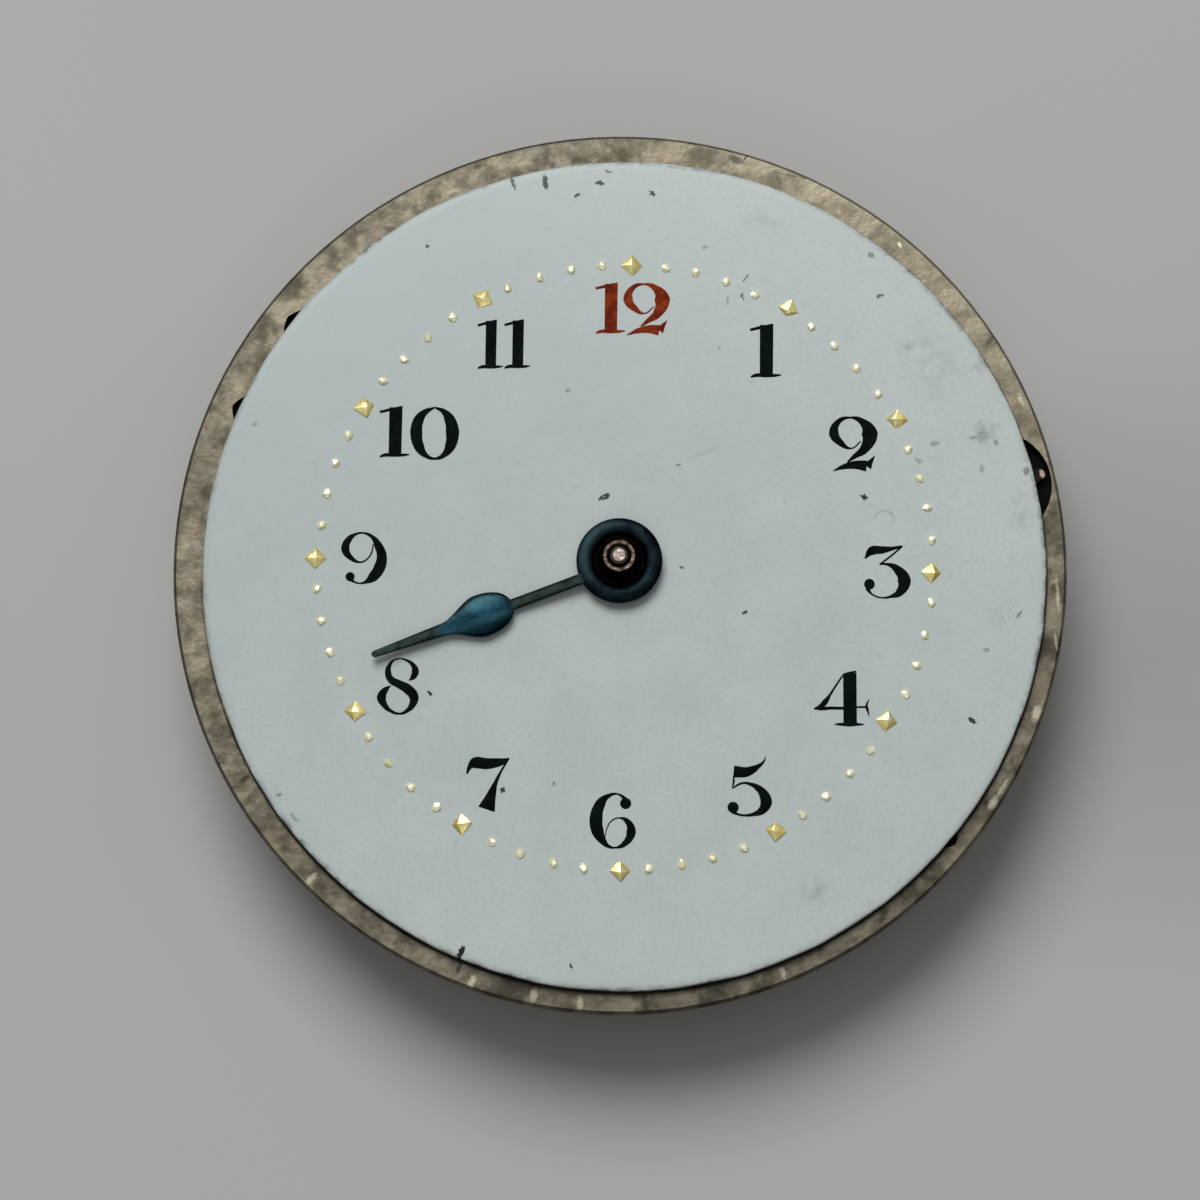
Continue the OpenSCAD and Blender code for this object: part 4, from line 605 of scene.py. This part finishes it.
def make_dial():
    """Domed enamel disc with a ground edge, its hollow counter-enamelled back and the middle hole."""
    crown = [(DIAL_HOLE_R + 0.06, dome(DIAL_HOLE_R))]
    steps = 60
    edge_c = (DIAL_R - DIAL_EDGE_R, dome(DIAL_R) - DIAL_EDGE_R)
    crown += [(r, dome(r)) for r in (DIAL_HOLE_R + 0.2 + (edge_c[0] - DIAL_HOLE_R - 0.2) * i / steps
                                     for i in range(steps + 1))]
    roll = [(edge_c[0] + DIAL_EDGE_R * math.cos(math.radians(a)), edge_c[1] + DIAL_EDGE_R * math.sin(math.radians(a)))
            for a in range(75, -1, -15)]
    back = [(DIAL_R, PLATE_TOP + 0.03), (DIAL_R - 0.03, PLATE_TOP), (12.2, PLATE_TOP), (8.0, PLATE_TOP + 0.15),
            (4.0, PLATE_TOP + 0.24), (DIAL_HOLE_R, PLATE_TOP + 0.27), (DIAL_HOLE_R, dome(DIAL_HOLE_R) - 0.06)]
    mesh = turned(crown + roll + back, 360, DIAL_C)
    middle = Vector((DIAL_C[0], DIAL_C[1], 0))
    for vert in mesh.verts:
        out = Vector((vert.co.x, vert.co.y, 0)) - middle
        if out.length > DIAL_R - 0.12:
            ragged = 0.03 * noise.noise(vert.co * 0.8) + 0.016 * noise.noise(vert.co * 2.1)
            vert.co += out.normalized() * (ragged - 0.01)
    return finished("dial_enamel", mesh, ENAMEL, "frame", "enamel_dial")


# figures as pen strokes in units of their height: each point has its place and the stroke's half-width
FIGURES = {
    "1": [
        [(0.31, 0.97, 0.122), (0.30, 0.03, 0.119)],
        [(0.01, 0.88, 0.025), (0.18, 0.92, 0.028), (0.43, 0.98, 0.019)],
        [(0.02, 0.02, 0.019), (0.11, 0.05, 0.033), (0.29, 0.05, 0.036), (0.46, 0.05, 0.028), (0.57, 0.06, 0.011)]],
    "2": [
        [(0.58, 0.55, 0.011), (0.40, 0.42, 0.014), (0.21, 0.52, 0.061), (0.09, 0.69, 0.092), (0.18, 0.91, 0.047),
         (0.39, 0.98, 0.017), (0.60, 0.91, 0.061), (0.74, 0.69, 0.150), (0.64, 0.41, 0.083), (0.47, 0.28, 0.044),
         (0.33, 0.17, 0.014)],
        [(0.07, 0.01, 0.008), (0.28, 0.09, 0.050), (0.50, 0.12, 0.078), (0.68, 0.10, 0.100)],
        [(0.69, 0.09, 0.083), (0.76, 0.19, 0.039), (0.83, 0.29, 0.006)]],
    "3": [
        [(0.03, 0.74, 0.014), (0.16, 0.88, 0.086), (0.36, 0.90, 0.069), (0.56, 0.93, 0.034), (0.73, 0.97, 0.020)],
        [(0.73, 0.97, 0.017), (0.52, 0.79, 0.017), (0.31, 0.63, 0.017)],
        [(0.30, 0.63, 0.011), (0.46, 0.63, 0.029), (0.64, 0.53, 0.080), (0.76, 0.33, 0.126), (0.67, 0.11, 0.074),
         (0.50, 0.03, 0.026), (0.33, 0.01, 0.014), (0.16, 0.07, 0.017), (0.06, 0.19, 0.040)]],
    "4": [
        [(0.66, 0.95, 0.121), (0.66, 0.03, 0.122)],
        [(0.52, 0.90, 0.017), (0.62, 0.94, 0.029), (0.78, 0.98, 0.017)],
        [(0.52, 0.89, 0.016), (0.41, 0.73, 0.017), (0.30, 0.56, 0.022), (0.21, 0.43, 0.052), (0.13, 0.35, 0.043),
         (0.01, 0.31, 0.010)],
        [(0.01, 0.31, 0.016), (0.15, 0.31, 0.033), (0.30, 0.32, 0.029), (0.54, 0.32, 0.026), (0.80, 0.34, 0.016),
         (0.96, 0.34, 0.019)],
        [(1.01, 0.48, 0.005), (0.96, 0.38, 0.022), (0.97, 0.31, 0.026), (1.01, 0.17, 0.005)],
        [(0.38, 0.03, 0.009), (0.49, 0.03, 0.028), (0.65, 0.02, 0.029), (0.81, 0.03, 0.024), (0.91, 0.03, 0.009)]],
    "5": [
        [(0.11, 0.74, 0.099), (0.21, 0.73, 0.090), (0.31, 0.73, 0.082), (0.42, 0.77, 0.065), (0.52, 0.83, 0.035),
         (0.60, 0.90, 0.018), (0.64, 0.99, 0.003)],
        [(0.11, 0.67, 0.012), (0.11, 0.57, 0.018), (0.09, 0.46, 0.010)],
        [(0.10, 0.46, 0.007), (0.16, 0.51, 0.017), (0.27, 0.55, 0.018), (0.39, 0.53, 0.028), (0.52, 0.46, 0.055),
         (0.62, 0.33, 0.087), (0.64, 0.23, 0.097), (0.57, 0.10, 0.065), (0.44, 0.04, 0.032), (0.29, 0.02, 0.018),
         (0.17, 0.04, 0.020), (0.09, 0.09, 0.042)]],
    "6": [
        [(0.65, 0.89, 0.035), (0.50, 0.98, 0.015), (0.33, 0.94, 0.040), (0.20, 0.81, 0.091), (0.12, 0.54, 0.118),
         (0.15, 0.31, 0.111), (0.25, 0.13, 0.063), (0.35, 0.04, 0.030), (0.47, 0.02, 0.015), (0.62, 0.08, 0.050),
         (0.75, 0.30, 0.086), (0.68, 0.49, 0.050), (0.54, 0.55, 0.013), (0.40, 0.50, 0.013), (0.32, 0.38, 0.010),
         (0.28, 0.21, 0.008)]],
    "7": [
        [(0.03, 0.68, 0.016), (0.08, 0.80, 0.042), (0.18, 0.88, 0.110), (0.39, 0.87, 0.105), (0.60, 0.89, 0.084),
         (0.76, 0.93, 0.047), (0.82, 0.97, 0.013)],
        [(0.81, 0.96, 0.016), (0.67, 0.73, 0.021), (0.57, 0.52, 0.037), (0.48, 0.26, 0.094), (0.40, 0.02, 0.162)]],
    "8": [
        [(0.41, 0.99, 0.012), (0.29, 0.96, 0.016), (0.21, 0.86, 0.038), (0.19, 0.75, 0.055), (0.24, 0.62, 0.063),
         (0.38, 0.54, 0.071), (0.54, 0.45, 0.086), (0.65, 0.31, 0.085), (0.62, 0.17, 0.059), (0.53, 0.07, 0.035),
         (0.41, 0.02, 0.019), (0.24, 0.07, 0.030), (0.13, 0.18, 0.055), (0.08, 0.31, 0.085), (0.15, 0.44, 0.052),
         (0.24, 0.51, 0.008)],
        [(0.41, 0.99, 0.012), (0.53, 0.95, 0.022), (0.63, 0.87, 0.041), (0.67, 0.76, 0.066), (0.63, 0.66, 0.049),
         (0.56, 0.60, 0.006)]],
    "9": [
        [(0.62, 0.77, 0.012), (0.59, 0.60, 0.015), (0.48, 0.46, 0.015), (0.37, 0.42, 0.018), (0.21, 0.49, 0.045),
         (0.08, 0.68, 0.083), (0.15, 0.87, 0.060), (0.29, 0.97, 0.024), (0.42, 0.99, 0.018), (0.59, 0.92, 0.036),
         (0.72, 0.74, 0.080), (0.79, 0.53, 0.098), (0.75, 0.32, 0.113), (0.62, 0.13, 0.098), (0.47, 0.03, 0.030),
         (0.37, 0.01, 0.015), (0.26, 0.04, 0.021), (0.18, 0.10, 0.042)]],
    "0": [
        [(0.46, 0.99, 0.014), (0.28, 0.90, 0.058), (0.17, 0.77, 0.096), (0.12, 0.52, 0.115), (0.18, 0.24, 0.096),
         (0.32, 0.07, 0.043), (0.47, 0.02, 0.022), (0.63, 0.08, 0.048), (0.76, 0.26, 0.101), (0.80, 0.52, 0.127),
         (0.74, 0.77, 0.101), (0.62, 0.92, 0.048), (0.46, 0.99, 0.014)]]}
# the round ends of strokes: place and radius
BALLS = {"3": (0.11, 0.26, 0.100), "5": (0.10, 0.15, 0.092), "6": (0.65, 0.81, 0.101), "9": (0.18, 0.14, 0.089)}
# each figure on the dial: its middle, width and height
FIGURE_PLACES = [
    ("1", 4.62, 7.24, 1.04, 1.86), ("2", 7.58, 4.17, 1.63, 1.85), ("3", 8.74, -0.05, 1.56, 1.78),
    ("4", 7.33, -4.27, 1.85, 1.82), ("5", 4.40, -7.22, 1.47, 1.98), ("6", 0.01, -8.46, 1.52, 1.81),
    ("7", -4.08, -7.35, 1.44, 1.75), ("8", -7.08, -4.24, 1.37, 1.87), ("9", -8.35, -0.03, 1.49, 1.71),
    ("1", -7.50, 4.22, 1.01, 1.75), ("0", -6.18, 4.19, 1.62, 1.78),
    ("1", -4.45, 7.24, 0.85, 1.70), ("1", -3.56, 7.27, 0.87, 1.70)]
TWELVE_PLACES = [("1", -0.53, 8.56, 0.99, 1.77), ("2", 0.69, 8.55, 1.56, 1.79)]
FIGURE_WIDTH = {"1": 0.572, "2": 0.903, "3": 0.894, "4": 1.03, "5": 0.745, "6": 0.844, "7": 0.83, "8": 0.741,
                "9": 0.884, "0": 0.926}
# the whole dial lies turned a little against the figures' uprights
FIGURE_TURN = math.radians(1.4)


def pen_stroke(points):
    """A flat ribbon along a smooth line whose half-width changes from point to point."""
    line = bpy.data.curves.new("stroke", "CURVE")
    line.dimensions = "3D"
    line.twist_mode = "Z_UP"
    line.extrude = 1.0
    line.resolution_u = 6
    spline = line.splines.new("BEZIER")
    spline.bezier_points.add(len(points) - 1)
    for knot, (x, y, half_w) in zip(spline.bezier_points, points):
        knot.co = (x, y, 0)
        knot.radius = half_w
        knot.tilt = math.pi / 2
        knot.handle_left_type = knot.handle_right_type = "AUTO"
    holder = bpy.data.objects.new("stroke", line)
    data = bpy.data.meshes.new_from_object(holder)
    bpy.data.objects.remove(holder)
    bpy.data.curves.remove(line)
    return data


def write_figures(name, places, material):
    """Paints figures on the domed dial, each stroke a hair above the one before it."""
    sheet = bmesh.new()
    for figure, x, y, width, height in places:
        glyph = bmesh.new()
        for layer, points in enumerate(FIGURES[figure]):
            data = pen_stroke(points)
            before = set(glyph.verts)
            glyph.from_mesh(data)
            bpy.data.meshes.remove(data)
            for vert in set(glyph.verts) - before:
                vert.co.z = layer
        if figure in BALLS:
            bx, by, radius = BALLS[figure]
            bmesh.ops.create_circle(glyph, cap_ends=True, segments=28, radius=radius,
                                    matrix=Matrix.Translation((bx, by, len(FIGURES[figure]))))
        wide = width / (FIGURE_WIDTH[figure] * height)
        across = Matrix.Translation((-FIGURE_WIDTH[figure] / 2, -0.5, 0))
        fit = Matrix.Diagonal((height * wide, height, 1, 1))
        turn = Matrix.Rotation(FIGURE_TURN, 4, "Z")
        glyph.transform(Matrix.Translation((x, y, 0)) @ turn @ fit @ across)
        data = bpy.data.meshes.new("figure")
        glyph.to_mesh(data)
        glyph.free()
        sheet.from_mesh(data)
        bpy.data.meshes.remove(data)
    bmesh.ops.remove_doubles(sheet, verts=sheet.verts, dist=1e-5)
    for vert in sheet.verts:
        away = math.hypot(vert.co.x - DIAL_C[0], vert.co.y - DIAL_C[1])
        vert.co.z = dome(away) + 0.006 + 0.0006 * vert.co.z
    sheet.normal_update()
    down = [f for f in sheet.faces if f.normal.z < 0]
    bmesh.ops.reverse_faces(sheet, faces=down)
    return finished(name, sheet, material, "frame")


# how far an hour stud leans at most, in radians
STUD_LEAN = 0.16
# the hour studs as they were set by hand, from 12 round to 11: place and the turn of their square in degrees
HOUR_STUDS = [
    (0.16, 10.03, 47), (5.37, 8.66, 29), (8.98, 5.03, 40), (10.19, -0.04, 45), (8.80, -4.99, 35), (5.28, -8.63, 41),
    (0.31, -10.05, 46), (-4.89, -8.69, 50), (-8.45, -5.09, 43), (-9.91, -0.07, 45), (-8.50, 5.05, 57),
    (-4.76, 8.76, 22)]


def make_hour_studs():
    """Twelve gilt pyramids with softened edges, each set by hand and so a little turned."""
    random.seed(12)
    mesh = bmesh.new()
    half = 0.36 / math.sqrt(2)
    for x, y, turn in HOUR_STUDS:
        made = bmesh.ops.create_grid(mesh, x_segments=1, y_segments=1, size=half)["verts"]
        faces = {f for v in made for f in v.link_faces}
        peak = bmesh.ops.poke(mesh, faces=list(faces))["verts"]
        off = (random.uniform(-0.09, 0.09), random.uniform(-0.09, 0.09), 0.1)
        for corner in made:
            corner.co += Vector((random.uniform(-0.03, 0.03), random.uniform(-0.03, 0.03), 0))
        bmesh.ops.translate(mesh, vec=off, verts=peak)
        rim = {e for v in made for e in v.link_edges if e.is_boundary}
        skirt = bmesh.ops.extrude_edge_only(mesh, edges=list(rim))["geom"]
        low = [v for v in skirt if isinstance(v, bmesh.types.BMVert)]
        bmesh.ops.translate(mesh, vec=(0, 0, -0.05), verts=low)
        stud = made + peak + low
        edges = {e for v in stud for e in v.link_edges if not e.is_boundary}
        worn = bmesh.ops.bevel(mesh, geom=list(edges), offset=0.016, offset_type="OFFSET", affect="EDGES", segments=2,
                               profile=0.5, material=-1)["verts"]
        stud = list(set(worn) | {v for v in stud if v.is_valid})
        lean = (Matrix.Rotation(random.uniform(-STUD_LEAN, STUD_LEAN), 4, "X")
                @ Matrix.Rotation(random.uniform(-STUD_LEAN, STUD_LEAN), 4, "Y"))
        away = math.hypot(x - DIAL_C[0], y - DIAL_C[1])
        place = Matrix.Translation((x, y, dome(away) + 0.02)) @ Matrix.Rotation(math.radians(turn), 4, "Z") @ lean
        bmesh.ops.transform(mesh, matrix=place, verts=stud)
    return finished("hour_studs", mesh, GILT, "frame", "hour_pips", 20)


def make_minute_studs():
    """Forty-eight small gilt domes pressed into the enamel, none quite round."""
    random.seed(48)
    mesh = bmesh.new()
    for minute in range(60):
        if minute % 5 == 0:
            continue
        made = bmesh.ops.create_icosphere(mesh, subdivisions=2, radius=0.165)["verts"]
        bmesh.ops.scale(mesh, vec=(random.uniform(0.98, 1.12), random.uniform(0.85, 1.0), 0.6), verts=made)
        for vert in made:
            vert.co += vert.normal * 0.03 * noise.noise(vert.co * 9 + Vector((minute, 0, 0)))
        below = [v for v in made if v.co.z < -0.03]
        bmesh.ops.delete(mesh, geom=below, context="VERTS")
        made = [v for v in made if v.is_valid]
        angle = math.radians(90 - 6 * minute)
        x = STUD_RING_C[0] + STUD_RING_R * math.cos(angle) + random.uniform(-0.04, 0.04)
        y = STUD_RING_C[1] + STUD_RING_R * math.sin(angle) + random.uniform(-0.04, 0.04)
        away = math.hypot(x - DIAL_C[0], y - DIAL_C[1])
        place = Matrix.Translation((x, y, dome(away) - 0.005)) @ Matrix.Rotation(random.uniform(0, 6), 4, "Z")
        bmesh.ops.transform(mesh, matrix=place, verts=made)
    return finished("minute_studs", mesh, PALE_GILT, "frame", "minute_pips", 18)


# ---- hour hand ----


def hand_half_w(s):
    """Half-width of the hand at a distance from its axis."""
    if s < BULB_START:
        return SHANK_HALF_W
    if s < BULB_WIDE:
        share = (BULB_WIDE - s) / (BULB_WIDE - BULB_START)
        return SHANK_HALF_W + (BULB_HALF_W - SHANK_HALF_W) * math.sqrt(1 - share ** 2)
    if s < BULB_END:
        share = (s - BULB_WIDE) / (BULB_END - BULB_WIDE)
        return NECK_HALF_W + (BULB_HALF_W - NECK_HALF_W) * (1 + math.cos(math.pi * share)) / 2
    share = (s - BULB_END) / (HAND_LENGTH - BULB_END)
    half_w = NECK_HALF_W + (TIP_HALF_W - NECK_HALF_W) * share
    left = HAND_LENGTH - s
    return half_w if left > TIP_HALF_W else TIP_HALF_W * math.sqrt(max(1 - (1 - left / TIP_HALF_W) ** 2, 0.01))


def arm_droop(s):
    """How much lower the bent arm lies at a distance from the axis."""
    return ARM_DROOP * min(max((s - BOSS_R) / DROOP_RUN, 0), 1)


def make_hand():
    """Blued hour hand: flat filed shanks and a swelling pear bulb, on a rounded boss."""
    mesh = turned([(BOSS_HOLE_R, HAND_UNDER), (BOSS_R - 0.03, HAND_UNDER), (BOSS_R, HAND_UNDER + 0.03),
                   (BOSS_R, HAND_UNDER + 0.12), (BOSS_R - 0.03, HAND_UNDER + 0.155), (1.29, HAND_UNDER + 0.19),
                   (1.2, HAND_UNDER + 0.213), (1.1, HAND_UNDER + 0.22), (1.0, HAND_UNDER + 0.21),
                   (0.92, HAND_UNDER + 0.175), (0.86, HAND_UNDER + 0.12), (BOSS_HOLE_R, HAND_UNDER + 0.05)], 96)
    start_s = BOSS_R - 0.08
    arm = bmesh.ops.create_grid(mesh, x_segments=96, y_segments=12, size=1)["verts"]
    for vert in arm:
        s = start_s + (HAND_LENGTH - start_s) * (vert.co.x + 1) / 2
        half_w = hand_half_w(s)
        swell = max(half_w - NECK_HALF_W, 0) / (BULB_HALF_W - NECK_HALF_W)
        across = math.sin(vert.co.y * math.pi / 2)
        crown = math.sqrt(max(1 - across ** 2, 0))
        flat = min(crown / FLAT_SHARE, 1)
        top = ARM_EDGE_H + SHANK_TOP * flat * (1 - swell) + BULB_CROWN * crown * swell
        vert.co = (s, half_w * across + ARM_OFF, HAND_UNDER + top - arm_droop(s))
    faces = list({f for v in arm for f in v.link_faces})
    under = [g for g in bmesh.ops.extrude_face_region(mesh, geom=faces)["geom"] if isinstance(g, bmesh.types.BMVert)]
    for vert in under:
        vert.co.z = HAND_UNDER + UNDER_RISE - arm_droop(vert.co.x)
    bmesh.ops.rotate(mesh, cent=(0, 0, 0), matrix=Matrix.Rotation(HAND_ANGLE, 3, "Z"), verts=arm + under)
    bmesh.ops.recalc_face_normals(mesh, faces=mesh.faces)
    return finished("hand_hour", mesh, BLUE_HAND, "hour", "hour_hand", 40)


# ---- springs ----


def coil(name, node, centre, r_out, r_in, sweep, hold, start_angle, thickness, heights, material):
    """A flat ribbon spring wound inwards at a steady rate after an outer arc."""
    line = bpy.data.curves.new(name, "CURVE")
    line.dimensions = "3D"
    line.twist_mode = "Z_UP"
    line.bevel_depth = thickness / 2 * MM
    line.bevel_resolution = 1
    line.extrude = (heights[1] - heights[0] - thickness) / 2 * MM
    spline = line.splines.new("POLY")
    steps = int(sweep / 4)
    spline.points.add(steps)
    middle = (heights[0] + heights[1]) / 2
    for i, point in enumerate(spline.points):
        a = sweep * i / steps
        r = r_out if a < hold else r_out - (r_out - r_in) * (a - hold) / (sweep - hold)
        turn = math.radians(start_angle + a)
        point.co = ((centre[0] + r * math.cos(turn)) * MM, (centre[1] + r * math.sin(turn)) * MM, middle * MM, 1)
    line.use_fill_caps = True
    holder = bpy.data.objects.new(name, line)
    data = bpy.data.meshes.new_from_object(holder)
    bpy.data.objects.remove(holder)
    bpy.data.curves.remove(line)
    mesh = bmesh.new()
    mesh.from_mesh(data)
    bpy.data.meshes.remove(data)
    bmesh.ops.remove_doubles(mesh, verts=mesh.verts, dist=1e-8)
    bmesh.ops.recalc_face_normals(mesh, faces=mesh.faces)
    bmesh.ops.scale(mesh, vec=(1 / MM,) * 3, verts=mesh.verts)
    return finished(name, mesh, material, "frame", node, 50)


make_dial()
write_figures("dial_figures", FIGURE_PLACES, BLACK_PAINT)
write_figures("dial_twelve", TWELVE_PLACES, RED_PAINT)
make_hour_studs()
make_minute_studs()
make_hand()
coil("hairspring_coil", "hairspring", BALANCE_C, 3.0, 0.64, 80 + 360 * 4, 80, 200, 0.05, (1.3, 1.42), BLUE_SPRING)
coil("mainspring_coil", "mainspring", BARREL_C, 4.38, 1.25, 360 * 5.8, 0, 30, 0.12, (1.95, 3.02), SPRING)

# edges that were broken with a file or a stone, and how wide
for name, width in (
        ("barrel_bridge", 0.06), ("centre_bridge", 0.06), ("fourth_wheel_cock", 0.06), ("escape_wheel_cock", 0.06),
        ("pallet_cock", 0.06), ("balance_cock", 0.06), ("bridge_screws", 0.03), ("small_screws", 0.025),
        ("shoulder_screws", 0.03), ("crown_wheel_screw", 0.04), ("ratchet_screw", 0.03), ("end_piece", 0.025),
        ("regulator", 0.02), ("click", 0.025), ("setting_cover", 0.025), ("setting_lever", 0.025)):
    softened(name, width)

# ---- stage ----


def make_stage():
    """Plain pale grey table that takes the shadow, with a painted shadow a little off its right side."""
    mesh = bmesh.new()
    bmesh.ops.create_grid(mesh, x_segments=1, y_segments=1, size=2.0)
    data = bpy.data.meshes.new("table")
    mesh.to_mesh(data)
    mesh.free()
    table = bpy.data.objects.new("table", data)
    table.location.z = -0.00002
    bpy.context.scene.collection.objects.link(table)
    material, tree, shader, place = start("matt grey table")
    cloud = blotches(tree, place, 30, 2.0, 0.3, 0.7)
    colour = blend(tree, cloud, "#a8a8a5", "#abaaa8")
    # painted shadow on the table off the right side
    painted_shadow_right = maths(tree, "MULTIPLY", ramp(tree, from_axis(tree, place, (20.0, -2.0)), 12.0, 2.0), 0.4)
    colour = blend(tree, painted_shadow_right, colour, "#7d7e7b")
    tree.links.new(colour, shader.inputs["Base Color"])
    shader.inputs["Roughness"].default_value = 0.8
    data.materials.append(material)


def area_light(name, direction, rise, far, size, level):
    """A round lamp aimed at the movement; level is the light it gives on a flat table, where 1 is plain."""
    azimuth, up = math.radians(direction), math.radians(rise)
    lamp = bpy.data.lights.new(name, "AREA")
    lamp.shape = "DISK"
    lamp.size = size
    lamp.energy = level * (math.pi * far) ** 2 / math.sin(up)
    obj = bpy.data.objects.new(name, lamp)
    way = Vector((math.cos(up) * math.cos(azimuth), math.cos(up) * math.sin(azimuth), math.sin(up)))
    obj.location = far * way
    obj.rotation_euler = (-way).to_track_quat("-Z", "Y").to_euler()
    bpy.context.scene.collection.objects.link(obj)


def make_lights():
    """A wide soft window at the upper left, a small lamp below, and a sky that is brightest towards the window."""
    area_light("window", 108, 57, 0.6, 0.36, 0.66)
    area_light("lamp below", -80, 56, 0.5, 0.12, 0.025)
    world = bpy.data.worlds.new("room")
    world.use_nodes = True
    tree = world.node_tree
    way = add(tree, "ShaderNodeTexCoord").outputs["Generated"]
    lean = (math.cos(math.radians(108)) * 0.3, math.sin(math.radians(108)) * 0.3, 0.954)
    toward = add(tree, "ShaderNodeVectorMath", {0: way, 1: lean}, operation="DOT_PRODUCT").outputs["Value"]
    lobe = maths(tree, "POWER", maths(tree, "MAXIMUM", toward, 0.0), 2.0)
    sky = maths(tree, "MULTIPLY_ADD", lobe, 0.48, 0.08)
    seen = add(tree, "ShaderNodeLightPath").outputs["Is Camera Ray"]
    level = add(tree, "ShaderNodeMix", {0: seen, 2: sky, 3: 0.42}, data_type="FLOAT").outputs[0]
    back = tree.nodes["Background"]
    back.inputs["Color"].default_value = (0.97, 0.99, 1.0, 1.0)
    tree.links.new(level, back.inputs["Strength"])
    bpy.context.scene.world = world


# camera: where it looks, how far it is, and its tilt, side step and roll in degrees
CAMERA_TARGET = Vector((-0.612, -1.106, 4.5))
CAMERA_FAR = 140.0
CAMERA_TILT, CAMERA_SIDE, CAMERA_ROLL = 10.225, 5.237, -3.761
CAMERA_FOCAL_PX = 4274.8
IMAGE_PX = 1200
SENSOR_W = 36


def make_camera():
    tilt, side, roll = (math.radians(a) for a in (CAMERA_TILT, CAMERA_SIDE, CAMERA_ROLL))
    back = Vector((math.sin(tilt) * math.sin(side), -math.sin(tilt) * math.cos(side), math.cos(tilt)))
    level = Vector((math.cos(side), math.sin(side), 0))
    upright = back.cross(level)
    right = level * math.cos(roll) + upright * math.sin(roll)
    up = upright * math.cos(roll) - level * math.sin(roll)
    data = bpy.data.cameras.new("camera")
    data.sensor_width = SENSOR_W
    data.lens = SENSOR_W * CAMERA_FOCAL_PX / IMAGE_PX
    data.clip_start = 0.01
    camera = bpy.data.objects.new("camera", data)
    turn = Matrix((right, up, back)).transposed().to_4x4()
    camera.matrix_world = Matrix.Translation((CAMERA_TARGET + CAMERA_FAR * back) * MM) @ turn
    bpy.context.scene.collection.objects.link(camera)
    bpy.context.scene.camera = camera


make_stage()
make_lights()
make_camera()
bpy.context.scene.view_settings.view_transform = "Standard"
